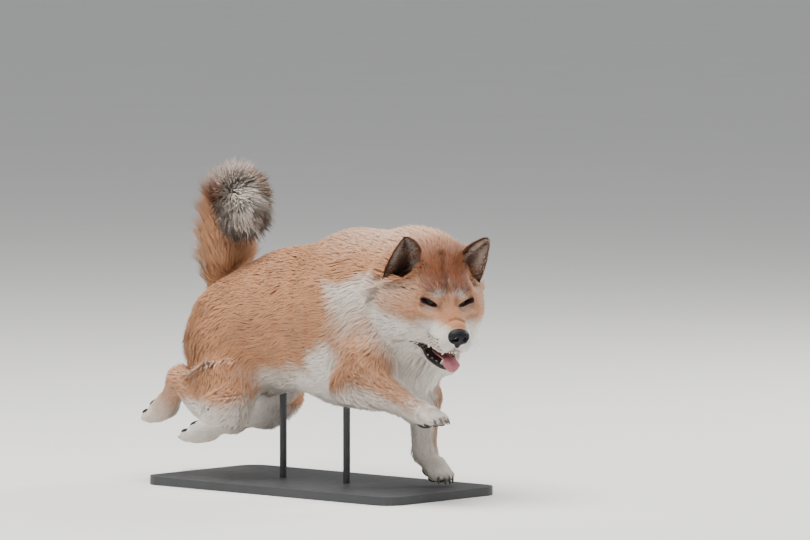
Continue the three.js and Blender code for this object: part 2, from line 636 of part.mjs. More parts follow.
for (let k = 0; k < 5; k++) {
  const turn = (k / 5) * 2 * Math.PI;
  const out = new THREE.Vector3(Math.sin(turn), Math.cos(turn), 0).addScaledVector(tailEnd, 1.2).normalize();
  brush.push(lock(tailLine.getPoint(0.97), out, tailEnd, TAIL.brush.at(-1) * 0.95, TAIL.wide, TAIL.thick));
}
made.tail = largest(joined(made.tail, ...brush).subtract(grown("torso")));

// Breeches: locks down the back of each thigh
for (const [which, s] of Object.entries(side)) {
  const name = `thigh_${which}`;
  const skin = pieces.find((p) => p.name === name).skin;
  const locks = [];
  for (let row = 0; row < BREECH.rows; row++)
    for (const column of [0, 1]) {
      const z = 222 - row * 24 - column * 11;
      const out = new THREE.Vector3(-1, s * (0.15 + column * 0.7), 0).normalize();
      const root = new THREE.Vector3(-120, s * (46 + column * 12), z);
      while (skin(...root.toArray()) < -4) root.addScaledVector(out, 1);
      const sweep = new THREE.Vector3(-0.25, 0, -1).normalize();
      locks.push(lock(root, out, sweep, BREECH.long * vary(0.9, 1.2), BREECH.wide, BREECH.thick));
    }
  made[name] = largest(joined(made[name], ...locks.map((l) => clear(l, name))));
}

// Claws: short, blunt and curved, fused to the toes
for (const [name, paw] of Object.entries(paws)) {
  const [kind, which] = name.split("leg_");
  const node = `${kind}paw_${which}`;
  const claws = paw.tips.map(([x, y, z]) =>
    tube(
      [0, 0.55, 1].map((t) =>
        new THREE.Vector3(x + PAW.toe - 4 + (CLAW.long + 3) * t, y, z + 2.5 - 7 * t * t).applyMatrix4(paw.frame),
      ),
      (t) => CLAW.wide * (1 - t * 0.8),
      4,
    ),
  );
  made[node] = joined(made[node], ...claws);
}

// The sole of the planted paw is flat, just above the plate
const floor = solidFrom(new THREE.BoxGeometry(900, 400, 100), new THREE.Matrix4().makeTranslation(0, 0, -50 + GAP));
made.forepaw_left = largest(made.forepaw_left.subtract(floor));

// Display stand: a flat plate and two rods up to the brisket and the belly
const plateShape = new THREE.Shape();
const [hx, hy, c] = [PLATE.length / 2, PLATE.width / 2, PLATE.corner];
plateShape.moveTo(-hx + c, -hy).lineTo(hx - c, -hy).absarc(hx - c, -hy + c, c, -Math.PI / 2, 0);
plateShape.lineTo(hx, hy - c).absarc(hx - c, hy - c, c, 0, Math.PI / 2);
plateShape.lineTo(-hx + c, hy).absarc(-hx + c, hy - c, c, Math.PI / 2, Math.PI);
plateShape.lineTo(-hx, -hy + c).absarc(-hx + c, -hy + c, c, Math.PI, 1.5 * Math.PI);
made.stand_base = solidFrom(
  new THREE.ExtrudeGeometry(plateShape, { depth: PLATE.thick, bevelEnabled: false, curveSegments: 5 }),
  new THREE.Matrix4().makeTranslation(0, 0, -PLATE.thick),
);
const grownTorso = grown("torso");
for (const [name, x] of Object.entries(RODS)) {
  const tall = 170;
  const rod = solidFrom(
    new THREE.CylinderGeometry(ROD_RADIUS, ROD_RADIUS, tall, 20),
    new THREE.Matrix4().makeTranslation(x, 0, tall / 2 + GAP).multiply(new THREE.Matrix4().makeRotationX(Math.PI / 2)),
  );
  const pieces = rod.subtract(grownTorso).decompose();
  made[`stand_rod_${name}`] = pieces.sort((a, b) => a.boundingBox().min[2] - b.boundingBox().min[2])[0];
}

const SKINS = {
  red: ["#b9703f", 0.85],
  cream: ["#d9c9b2", 0.85],
  leather: ["#1c1b1e", 0.4],
  eye: ["#1d120b", 0.1],
  tongue: ["#b4686f", 0.45],
  stand: ["#3b3c3e", 0.5],
};
const skins = Object.fromEntries(
  Object.entries(SKINS).map(([k, [color, roughness]]) => [
    k,
    new THREE.MeshStandardMaterial({ color, roughness, metalness: 0 }),
  ]),
);
const skinOf = (name) => {
  if (/^stand/.test(name)) return skins.stand;
  if (/^eye/.test(name)) return skins.eye;
  if (/paw|jaw/.test(name)) return skins.cream;
  return { nose: skins.leather, tongue: skins.tongue }[name] ?? skins.red;
};
const group = new THREE.Group();
for (const [name, body] of Object.entries(made)) {
  const m = body.getMesh();
  const v = new Float32Array(m.numVert * 3);
  for (let i = 0; i < m.numVert; i++) v.set(m.vertProperties.subarray(i * m.numProp, i * m.numProp + 3), i * 3);
  const g = new THREE.BufferGeometry()
    .setAttribute("position", new THREE.BufferAttribute(v, 3))
    .setIndex(new THREE.BufferAttribute(m.triVerts, 1));
  g.computeVertexNormals();
  const mesh = new THREE.Mesh(g, skinOf(name));
  mesh.name = name;
  group.add(mesh);
}
group.position.z = PLATE.thick;
export default group;
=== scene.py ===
import math
import bmesh
import bpy
import numpy as np
from mathutils import Euler, Matrix, Vector


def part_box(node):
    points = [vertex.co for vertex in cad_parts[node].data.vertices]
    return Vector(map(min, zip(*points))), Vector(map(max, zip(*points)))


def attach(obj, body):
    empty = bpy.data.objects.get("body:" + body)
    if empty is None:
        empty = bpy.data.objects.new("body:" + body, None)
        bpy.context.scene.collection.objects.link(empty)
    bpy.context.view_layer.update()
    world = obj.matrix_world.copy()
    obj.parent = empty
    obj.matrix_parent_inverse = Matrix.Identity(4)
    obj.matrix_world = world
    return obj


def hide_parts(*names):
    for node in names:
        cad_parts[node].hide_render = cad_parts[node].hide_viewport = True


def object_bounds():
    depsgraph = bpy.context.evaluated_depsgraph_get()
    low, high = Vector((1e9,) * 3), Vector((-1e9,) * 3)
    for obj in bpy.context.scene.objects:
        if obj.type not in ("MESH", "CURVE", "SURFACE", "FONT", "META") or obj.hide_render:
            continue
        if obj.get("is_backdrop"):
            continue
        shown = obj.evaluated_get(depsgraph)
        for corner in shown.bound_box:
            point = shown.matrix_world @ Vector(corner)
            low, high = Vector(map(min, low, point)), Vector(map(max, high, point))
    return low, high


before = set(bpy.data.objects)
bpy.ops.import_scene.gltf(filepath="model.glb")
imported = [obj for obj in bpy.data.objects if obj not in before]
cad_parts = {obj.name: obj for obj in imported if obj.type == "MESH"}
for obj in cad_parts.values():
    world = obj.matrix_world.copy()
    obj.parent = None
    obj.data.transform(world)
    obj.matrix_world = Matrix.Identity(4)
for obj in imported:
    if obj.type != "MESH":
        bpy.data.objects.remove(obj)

cad_box = [list(corner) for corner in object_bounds()]

# The body: a thickset dog in full stride, its head turned to its right and its mouth open.
# Flesh and hide are one closed skin over soft bones and eggs, the same named shapes as the solids',
# in millimetres above the display plate. It lies below the solids' surface by the coat's depth.
PLATE_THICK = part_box("stand_base")[1][2] * 1000
HEAD_AT = np.array([272.0, -42.0, 264.0])  # midway between the eyes
HEAD_TURN = (-2, 18, -25)  # degrees: roll, pitch, yaw
HEAD = np.array(Euler([math.radians(a) for a in HEAD_TURN], "XYZ").to_matrix())
SKIN_CELL = 3.2


def metres(points):
    return (points + [0, 0, PLATE_THICK]) / 1000


def on_head(points):
    return np.asarray(points, float) @ HEAD.T + HEAD_AT


def in_head(points):
    return (points - HEAD_AT) @ HEAD


def unit(v):
    return v / np.maximum(np.linalg.norm(v, axis=-1, keepdims=True), 1e-9)


def smooth(low, high, x):
    t = np.clip((x - low) / (high - low), 0, 1)
    return t * t * (3 - 2 * t)


def bone(a, b, ra, rb):
    a, b = np.array(a, float), np.array(b, float)
    long = np.linalg.norm(b - a)
    axis = (b - a) / long
    lean = (ra - rb) / long
    rise = math.sqrt(max(0.0, 1 - lean * lean))

    def field(p):
        d = p - a
        along = d @ axis
        aside = np.sqrt(np.maximum((d * d).sum(1) - along**2, 0))
        t = along + aside * lean / rise
        low = np.hypot(aside, along) - ra
        high = np.hypot(aside, along - long) - rb
        return np.where(t <= 0, low, np.where(t >= long, high, aside * rise + along * lean - ra))

    return field


def egg(centre, radii, turn=(0, 0, 0)):
    turned = np.array(Euler([math.radians(a) for a in turn], "XYZ").to_matrix())
    radii = np.array(radii, float)

    def field(p):
        q = ((p - np.array(centre, float)) @ turned) / radii
        near = np.sqrt((q * q).sum(1))
        slope = np.sqrt(((q / radii) ** 2).sum(1))
        return near * (near - 1) / np.maximum(slope, 1e-9)

    return field


def soft(k, a, b):
    h = np.maximum(k - np.abs(a - b), 0) / k
    return np.minimum(a, b) - h * h * k / 4


def blend(k, *fields):
    def field(p):
        d = fields[0](p)
        for other in fields[1:]:
            d = soft(k, d, other(p))
        return d

    return field


def carve(k, body, dent):
    return lambda p: -soft(k, -body(p), dent(p))


def mirrored(field):
    return lambda p: field(p * [1, 0, 1] + np.abs(p) * [0, 1, 0])


def headed(field):
    return lambda p: field(in_head(p))


torso = blend(
    34,
    egg([62, 0, 218], [114, 94, 113]),
    egg([-45, 0, 221], [106, 90, 99]),
    egg([-102, 0, 226], [90, 76, 66]),
    egg([-134, 0, 205], [62, 72, 60]),
    egg([-2, 0, 264], [84, 56, 59]),
    egg([72, 0, 286], [78, 54, 57]),
    egg([116, 0, 200], [62, 76, 90]),
    egg([-96, -4, 128], [24, 12, 14]),
)
neck = blend(
    34,
    bone([96, 0, 268], [188, -8, 286], 83, 77),
    bone([205, -14, 238], [146, 0, 200], 62, 70),
)
cranium = blend(
    22,
    egg([-59, 0, 8], [52, 56, 54]),
    mirrored(egg([-46, 39, -27], [44, 36, 44])),
    mirrored(egg([-16, 17, 13], [24, 20, 14])),
    mirrored(egg([-8, 32, -16], [26, 20, 20])),
)
muzzle = blend(
    12,
    bone([-6, 0, -20], [41, 0, -27], 29, 18),
    mirrored(egg([29, 13, -40], [30, 16, 18])),
)
brow_crease = bone([10, 0, 16], [-30, 0, 52], 3, 5)
eye_dent = mirrored(egg([11, 27, 0], [9, 13, 8]))
ear_dent = mirrored(egg([-30, 52, 26], [11, 14, 24], [-40, 0, 0]))
head_shape = carve(12, blend(16, cranium, muzzle), ear_dent)
head_shape = carve(9, carve(6, head_shape, brow_crease), eye_dent)


def within(field, low, high, margin=42, far=60.0):
    """The field near a box of space, and a far value elsewhere, which saves most of the work."""
    low, high = np.array(low, float) - margin, np.array(high, float) + margin

    def limited(p):
        d = np.full(len(p), far)
        near = ((p > low) & (p < high)).all(1)
        d[near] = field(p[near])
        return d

    return limited


head = within(headed(head_shape), [150, -125, 190], [340, 45, 345])
jaw = within(headed(bone([-34, 0, -56], [34, 0, -76], 31, 16)), [190, -110, 160], [315, 20, 250])

# Each limb: upper and lower length, the hind foot, then a pad and four toes, from trunk to claws
LIMBS = {
    "foreleg_right": dict(
        upper=[([150, -64, 205], [44, 27, 66], [0, 24, 0]), ([162, -74, 180], [134, -82, 150], 36, 29)],
        lower=[([133, -82, 146], [166, -82, 153], 25, 32), ([166, -82, 153], [248, -78, 118], 32, 17)],
        paw=([250, -78, 117], [291, -76, 107]),
    ),
    "foreleg_left": dict(
        upper=[([150, 64, 205], [44, 27, 66], [0, 20, 0]), ([152, 70, 186], [122, 78, 166], 32, 28)],
        lower=[([122, 76, 168], [130, 70, 120], 27, 23), ([130, 70, 120], [141, 60, 52], 23, 18)],
        paw=([143, 59, 40], [180, 58, 12]),
    ),
    "hindleg_right": dict(
        upper=[([-128, -54, 176], [64, 34, 86], [0, -14, 0]), ([-114, -70, 140], [-100, -84, 106], 44, 35)],
        lower=[([-100, -84, 103], [-192, -77, 134], 35, 19), ([-134, -78, 112], [46, 25, 34], [0, 16, 0])],
        foot=[([-194, -77, 134], [-228, -70, 96], 18, 15)],
        paw=([-230, -70, 95], [-259, -66, 76]),
    ),
    "hindleg_left": dict(
        upper=[([-138, 54, 176], [62, 34, 84], [0, -2, 0]), ([-142, 70, 140], [-158, 84, 108], 42, 34)],
        lower=[([-158, 84, 106], [-238, 78, 66], 34, 19), ([-186, 80, 86], [40, 24, 28], [0, 26, 0])],
        foot=[([-240, 78, 65], [-288, 75, 48], 17, 14)],
        paw=([-288, 75, 48], [-322, 73, 35]),
    ),
}
PAD, TOE, FAN = 14.5, 8.4, 7.6
TOES = [-1.5, -0.5, 0.5, 1.5]


def form(shape):
    return egg(*shape) if len(shape) == 3 else bone(*shape)


def paw_of(wrist, toes):
    wrist, ahead = np.array(wrist, float), np.array(toes, float) - np.array(wrist, float)
    long = np.linalg.norm(ahead)
    ahead = ahead / long
    across = unit(np.array([0, 1, 0]) - ahead * ahead[1])
    basis = np.stack([ahead, across, np.cross(ahead, across)], 1)
    tips = [[long - 1 - abs(n) * 3.5, n * FAN * 1.25, 1 - abs(n) * 1.5] for n in TOES]
    shape = blend(
        6,
        bone([-2, 0, 0], [long * 0.5, 0, 0], PAD + 1, PAD),
        *[bone([long * 0.4, n * FAN, 2], tip, TOE + 1, TOE) for n, tip in zip(TOES, tips)],
        egg([long * 0.45, 0, -8], [13, 14, 8]),
    )
    return dict(at=wrist, basis=basis, tips=tips, long=long, field=lambda p: shape((p - wrist) @ basis))


def curve(points, t):
    """A centripetal spline through points, at the parameters t from 0 to 1."""
    ends = np.array([2 * points[0] - points[1], *points, 2 * points[-1] - points[-2]])
    place = np.clip(t, 0, 1) * (len(points) - 1)
    seat = np.minimum(place.astype(int), len(points) - 2)
    a, b, c, d = (ends[seat + k] for k in range(4))
    u = (place - seat)[:, None]
    near, mid, far = (np.linalg.norm(q - p, axis=1)[:, None] ** 0.5 for p, q in ((a, b), (b, c), (c, d)))
    tb = ((b - a) / near - (c - a) / (near + mid) + (c - b) / mid) * mid
    tc = ((c - b) / mid - (d - b) / (mid + far) + (d - c) / far) * mid
    return b + tb * u + (-3 * b + 3 * c - 2 * tb - tc) * u**2 + (2 * b - 2 * c + tb + tc) * u**3


TAIL_POINTS = np.array(
    [[-170, 0, 236], [-177, 1, 286], [-180, 1, 338], [-168, -4, 381], [-142, -18, 392], [-116, -34, 374]],
    float,
)
TAIL_STEPS = 8
tail_joints = curve(TAIL_POINTS, np.linspace(0, 1, TAIL_STEPS + 1))
tail_radii = [23 - i * 0.6 for i in range(TAIL_STEPS + 1)]
tail_core = blend(
    10,
    *[
        bone(tail_joints[i], tail_joints[i + 1], tail_radii[i], tail_radii[i + 1])
        for i in range(TAIL_STEPS)
    ],
)

# One named part of the body per row: its field, the line its hair follows, and its coat in millimetres:
# depth below the solids, hair length, how far hair stands off, tufts for each square centimetre, tuft width
COATS = {
    "head": (2.4, 6.5, 0.2, 44, 1.2),
    "jaw": (2.2, 7, 0.26, 40, 1.2),
    "neck": (11, 25, 0.36, 23, 2.0),
    "torso": (6.5, 18, 0.29, 22, 1.9),
    "upper": (5.5, 16, 0.28, 22, 1.8),
    "lower": (3.6, 11, 0.25, 26, 1.6),
    "foot": (2.8, 8, 0.22, 34, 1.4),
    "paw": (2, 5.5, 0.2, 40, 1.2),
    "tail": (7, 42, 1.0, 74, 1.7),
}
parts = [
    dict(name="head", kind="head", field=head, line=(on_head([66, 0, -26]), on_head([-90, 0, 10]))),
    dict(name="jaw", kind="jaw", field=jaw, line=(on_head([48, 0, -72]), on_head([-60, 0, -58]))),
    dict(name="neck", kind="neck", field=neck, line=([235, -20, 262], [90, 0, 250])),
    dict(name="torso", kind="torso", field=torso, line=([180, 0, 222], [-190, 0, 222])),
    dict(name="tail", kind="tail", field=tail_core, line=(TAIL_POINTS[0], TAIL_POINTS[2])),
]
paws = {}
limb_skins = []
for limb, shapes in LIMBS.items():
    paws[limb] = paw = paw_of(*shapes["paw"])
    chain = []
    for kind, k in (("upper", 22), ("lower", 16), ("foot", 8)):
        if kind in shapes:
            centres = np.array([c for s in shapes[kind] for c in (s[:1] if len(s) == 3 else s[:2])])
            reach = 60 if kind == "upper" else 12
            stretch = blend(k, *[form(s) for s in shapes[kind]])
            field = within(stretch, centres.min(0) - reach, centres.max(0) + reach)
            ends = [s for s in shapes[kind] if len(s) == 4]
            line = (ends[0][0] if kind != "upper" else shapes[kind][0][0], ends[-1][1])
            chain.append(field)
            parts.append(dict(name=f"{limb}_{kind}", kind=kind, field=field, line=line))
    paw["field"] = within(paw["field"], np.min(shapes["paw"], 0), np.max(shapes["paw"], 0))
    chain.append(paw["field"])
    parts.append(dict(name=f"{limb}_paw", kind="paw", field=paw["field"], line=shapes["paw"]))
    whole = blend(14, *reversed(chain))
    limb_skins.append((30 if "foot" in shapes else 26, whole))
for part in parts:
    part["line"] = [np.array(end, float) for end in part["line"]]


def body_skin(p):
    """The whole animal before its openings are cut, limbs melting into the trunk."""
    trunk = torso(p)
    d = soft(12, soft(30, soft(34, trunk, neck(p)), head(p)), jaw(p))
    for k, whole in limb_skins:
        d = np.minimum(d, soft(k, whole(p), trunk))
    return np.minimum(d, soft(14, tail_core(p), trunk))


# The open mouth is a wedge from its corners to the lips, and each eye an almond between its lids
MOUTH = np.array([[-5, -60], [26, -56], [39, -58], [74, -47], [74, -76], [10, -75]], float)
MOUTH_UPPER, MOUTH_LOWER = MOUTH[[0, 1, 2, 3]], MOUTH[[0, 5, 4]]
EYE_AT, EYE_RADIUS, EYE_HALF, LID = [-8, 20.5, 0.6], 12, (11.4, 3.9), 1.5
EYE_LOOK, EYE_SLANT, EYE_RISE, LOWER_LID = 35, 22, 1.6, 0.8


def mouth_gap(p):
    """Distance to the mouth wedge, below zero inside it, seen along the head's y."""
    q = in_head(p)[:, [0, 2]]
    near, inside = np.full(len(q), 1e9), np.zeros(len(q), bool)
    for a, b in zip(MOUTH, np.roll(MOUTH, -1, 0)):
        along = np.clip(((q - a) @ (b - a)) / ((b - a) @ (b - a)), 0, 1)
        near = np.minimum(near, np.linalg.norm(q - a - along[:, None] * (b - a), axis=1))
        crosses = (a[1] > q[:, 1]) != (b[1] > q[:, 1])
        reach = (b[0] - a[0]) * (q[:, 1] - a[1]) / (b[1] - a[1] if b[1] != a[1] else 1e-9) + a[0]
        inside ^= crosses & (q[:, 0] < reach)
    return np.where(inside, -near, near)


def eye_axes(side):
    look = np.array([math.cos(math.radians(EYE_LOOK)), side * math.sin(math.radians(EYE_LOOK)), 0])
    turn = np.array(Matrix.Rotation(side * math.radians(EYE_SLANT), 3, Vector(look)))
    return look, turn @ np.array([-look[1], look[0], 0]), turn @ np.array([0, 0, 1.0])


def eye_plane(p, side):
    """Across, up and ahead of an eye's centre."""
    look, long, up = eye_axes(side)
    q = in_head(p) - np.array(EYE_AT) * [1, side, 1]
    return q @ long, q @ up, q @ look


def eye_gap(p, side, grow=0.0):
    a, b, ahead = eye_plane(p, side)
    b = b - EYE_RISE
    tall = np.where(b > 0, EYE_HALF[1], EYE_HALF[1] * LOWER_LID) + grow
    edge = np.sqrt((a / (EYE_HALF[0] + grow)) ** 2 + (b / tall) ** 2)
    return np.maximum((edge - 1) * (EYE_HALF[1] + grow), -ahead)


def lids(p):
    """Balls that the lids lie over, and the sockets within them."""
    q = in_head(p)
    return np.linalg.norm(q * [1, 0, 1] + np.abs(q) * [0, 1, 0] - EYE_AT, axis=1) - EYE_RADIUS


# Each ear is a thick cupped triangle, open ahead and outward, and hollows the head and ruff before it
EAR_INNER, EAR_OUTER, EAR_TIP = (np.array(v, float) for v in ([-42, 28, 46], [-62, 72, 0], [-32, 63, 81]))
EAR_OPEN = unit(np.array([0.86, 0.46, 0.22]))
EAR_THICK, EAR_CUP = 5, 19
SOLE = 0.6  # the paws' lowest point above the plate
CUT_REACH, HEAD_REACH = 125, 130  # balls round the head's middle: for its openings, for all of it


def ear_hollow(t, u):
    return EAR_CUP * np.clip(1 - np.maximum(t, 0), 0, 1) ** 0.8 * np.sin(np.pi * np.clip(u, 0, 1)) ** 0.8


EAR_INTO = np.linalg.inv(np.stack([EAR_OUTER - EAR_INNER, EAR_TIP - EAR_INNER, EAR_OPEN]))


def ear_gap(p, side):
    q = (in_head(p) * [1, side, 1] - EAR_INNER) @ EAR_INTO
    up, ahead = q[:, 1], q[:, 2]
    across = q[:, 0] / np.clip(1 - up, 0.15, 2)
    wide = 68 * np.clip(1 - up, 0.15, 2)
    front = ahead - 8 - 16 * np.sin(np.pi * np.clip(across, 0, 1)) * (1 - up)
    rear = -ahead - ear_hollow(up, across) - 1
    sides = np.maximum(-across - 0.04, across - 1.1) * wide
    ends = np.maximum(-0.16 - up, up - 1.1) * 76
    return np.maximum(np.maximum(front, rear), np.maximum(sides, ends))


def open_skin(p):
    d = body_skin(p)
    near = (np.linalg.norm(p - HEAD_AT, axis=1) < CUT_REACH) & (np.abs(d) < 40)
    q = p[near]
    d[near] = soft(5, d[near], lids(q) - LID)
    cut = np.minimum(np.minimum(eye_gap(q, 1, -0.3), eye_gap(q, -1, -0.3)), mouth_gap(q))
    cut = np.minimum(cut, lids(q) + 0.2)
    cut = np.minimum(cut, np.minimum(ear_gap(q, 1), ear_gap(q, -1)))
    d[near] = -soft(2.5, -d[near], cut)
    return np.maximum(d, SOLE - p[:, 2])


def slope(field, p, e=0.6):
    steps = np.eye(3) * e
    return np.stack([field(p + s) - field(p - s) for s in steps], 1) / (2 * e)


def nets(field, low, high, cell):
    """Corners and squares of the surface where a field is zero, one corner for each crossed cell."""
    n = [int(math.ceil((high[i] - low[i]) / cell)) + 1 for i in range(3)]
    axes = [low[i] + cell * np.arange(n[i]) for i in range(3)]
    step = 4
    coarse = [a[::step] + cell * (step - 1) / 2 for a in axes]
    blocks = np.stack(np.meshgrid(*coarse, indexing="ij"), -1)
    rough = field(blocks.reshape(-1, 3)).reshape(blocks.shape[:3])
    grid = rough.repeat(step, 0).repeat(step, 1).repeat(step, 2)[: n[0], : n[1], : n[2]].copy()
    at = np.argwhere(np.abs(grid) < cell * step * 1.3)
    grid[tuple(at.T)] = field(np.array(low) + cell * at)
    inner = grid < 0
    corners = [(a, b, c) for a in (0, 1) for b in (0, 1) for c in (0, 1)]
    seen = np.zeros([size - 1 for size in n], int)
    for a, b, c in corners:
        seen += inner[a : n[0] - 1 + a, b : n[1] - 1 + b, c : n[2] - 1 + c]
    cells = np.argwhere((seen > 0) & (seen < 8))
    index = np.full(seen.shape, -1)
    index[tuple(cells.T)] = np.arange(len(cells))
    total, count = np.zeros((len(cells), 3)), np.zeros(len(cells))
    for a in corners:
        for axis in range(3):
            if a[axis]:
                continue
            b = tuple(v + (i == axis) for i, v in enumerate(a))
            va, vb = grid[tuple((cells + a).T)], grid[tuple((cells + b).T)]
            hit = (va < 0) != (vb < 0)
            t = np.where(hit, va / np.where(hit, va - vb, 1), 0)
            total += hit[:, None] * (np.array(a) + t[:, None] * (np.array(b) - np.array(a)))
            count += hit
    verts = np.array(low) + cell * (cells + total / count[:, None])
    squares = []
    for axis in range(3):
        b, c = np.eye(3, dtype=int)[[(axis + 1) % 3, (axis + 2) % 3]]
        here = np.take(inner, range(n[axis] - 1), axis)
        there = np.take(inner, range(1, n[axis]), axis)
        at = np.argwhere(here != there)
        at = at[((at - b - c) >= 0).all(1)]
        at = at[(at < np.array(index.shape)).all(1)]
        ring = np.stack([index[tuple((at - s).T)] for s in (b * 0, b, b + c, c)], 1)
        flip = ~here[tuple(at.T)]
        ring[flip] = ring[flip][:, ::-1]
        squares.append(ring)
    squares = np.concatenate(squares)
    return verts, squares[(squares >= 0).all(1)]


def settle(field, points, level, steps=4, reach=1.2):
    """Points moved along the field's slope until the field is at a level there."""
    for step in range(steps):
        if step % 2 == 0:
            s = slope(field, points)
        move = (level - field(points)) / np.maximum((s * s).sum(1), 0.25)
        points = points + s * np.clip(move, -reach, reach)[:, None]
    return points


def part_shares(p):
    """How far each point belongs to each named part."""
    near = np.stack([part["field"](p) for part in parts], 1)
    share = np.exp(-(near - near.min(1, keepdims=True)) / 7)
    return share / share.sum(1, keepdims=True)


def coat_of(p, share):
    """Depth, length, stand-off, density and width of the hair at each point."""
    made = share @ np.array([COATS[part["kind"]] for part in parts], float)
    q = in_head(p)
    of_head = share[:, 0] + share[:, 1]
    back = smooth(-8, -62, q[:, 0]) * smooth(-2, 26, np.abs(q[:, 1]) + np.maximum(-q[:, 2] - 20, 0))
    front = smooth(-4, 26, q[:, 0])
    made[:, 0] += of_head * (4.2 * back - 0.9 * front)
    made[:, 1] += of_head * (13 * back - 2.6 * front)
    made[:, 2] += of_head * 0.12 * back
    made[:, 3] += of_head * (26 * front - 16 * back)
    made[:, 4] += of_head * (0.5 * back - 0.25 * front)
    eyes = of_head * smooth(EYE_RADIUS + 8, EYE_RADIUS + 1, lids(p) + EYE_RADIUS)
    made[:, 1] *= 1 - 0.5 * eyes
    made[:, 2] *= 1 - 0.5 * eyes
    bib = (share[:, 2] + share[:, 3]) * smooth(110, 190, p[:, 0]) * smooth(250, 180, p[:, 2])
    made[:, 1] += 8 * bib
    rear = smooth(-120, -165, p[:, 0]) * smooth(240, 200, p[:, 2]) * smooth(105, 140, p[:, 2])
    rear *= share[:, [part["kind"] in ("torso", "upper") for part in parts]].sum(1)
    made[:, 1] += 10 * rear
    made[:, 2] += 0.14 * rear
    return made


SKIN_LOW, SKIN_HIGH = (-366, -122, -6), (322, 122, 424)
FINER = ((92, -70), (70, -16))  # round the head, from how far behind its middle: each halves the squares
skin_points, skin_squares = nets(open_skin, SKIN_LOW, SKIN_HIGH, SKIN_CELL)
skin_mesh = bpy.data.meshes.new("skin")
skin_mesh.from_pydata(skin_points.tolist(), [], skin_squares.tolist())
fine = bmesh.new()
fine.from_mesh(skin_mesh)
for reach, ahead in FINER:
    edges = []
    for edge in fine.edges:
        mid = np.array((edge.verts[0].co + edge.verts[1].co) / 2)
        q = HEAD.T @ (mid - HEAD_AT)
        if q[0] > ahead and q @ q < (reach + 14) ** 2:
            edges.append(edge)
    bmesh.ops.subdivide_edges(fine, edges=edges, cuts=1, use_grid_fill=True)
fine.to_mesh(skin_mesh)
fine.free()
skin_points = np.empty(len(skin_mesh.vertices) * 3)
skin_mesh.vertices.foreach_get("co", skin_points)
skin_points = skin_points.reshape(-1, 3)
skin_points = settle(open_skin, skin_points, 0, 2)
share = part_shares(skin_points)
coat = coat_of(skin_points, share)
mouth_side = mouth_gap(skin_points)
near_head = np.linalg.norm(skin_points - HEAD_AT, axis=1) < HEAD_REACH
in_mouth = near_head & (mouth_side < 1.2)
eye_side = np.minimum(eye_gap(skin_points, 1, 0.6), eye_gap(skin_points, -1, 0.6))
in_eye = near_head & ((eye_side < 0) | (lids(skin_points) < 0.7))
bare = in_mouth | in_eye
in_ear = np.minimum(ear_gap(skin_points, 1), ear_gap(skin_points, -1)) < 1.5
near_eye = smooth(EYE_RADIUS + 9, EYE_RADIUS + 2, lids(skin_points) + EYE_RADIUS)
depth = coat[:, 0] * np.where(near_head, smooth(0, 5, mouth_side) * (1 - near_eye), 1)
depth[bare | in_ear] = 0
skin_points = settle(open_skin, skin_points, -depth, 4, 4)
skin_normals = unit(slope(body_skin, skin_points, 1.5))


# Markings, the same for skin and coat: red on top and outside, cream on cheeks, chest, belly, the
# inner sides of the legs and the feet. Each point has four strengths: cream, dusk, deep red and flesh
def ripple(p, size, seed):
    draw = np.random.default_rng(seed)
    total = np.zeros(len(p))
    for _ in range(7):
        way = unit(draw.normal(size=3)) * 2 * np.pi / size * draw.uniform(0.6, 1.6)
        total += np.sin(p @ way + draw.uniform(0, 6.3))
    return total / 2.4


def part_sum(share, *words):
    return share[:, [any(w in part["name"] for w in words) for part in parts]].sum(1)


def tail_place(p):
    line = curve(TAIL_POINTS, np.linspace(0, 1, 60))
    near = np.array([((line - q) ** 2).sum(1).argmin() for q in p])
    heading = unit(np.gradient(line, axis=0))
    return near / 59, p - line[near], heading[near]


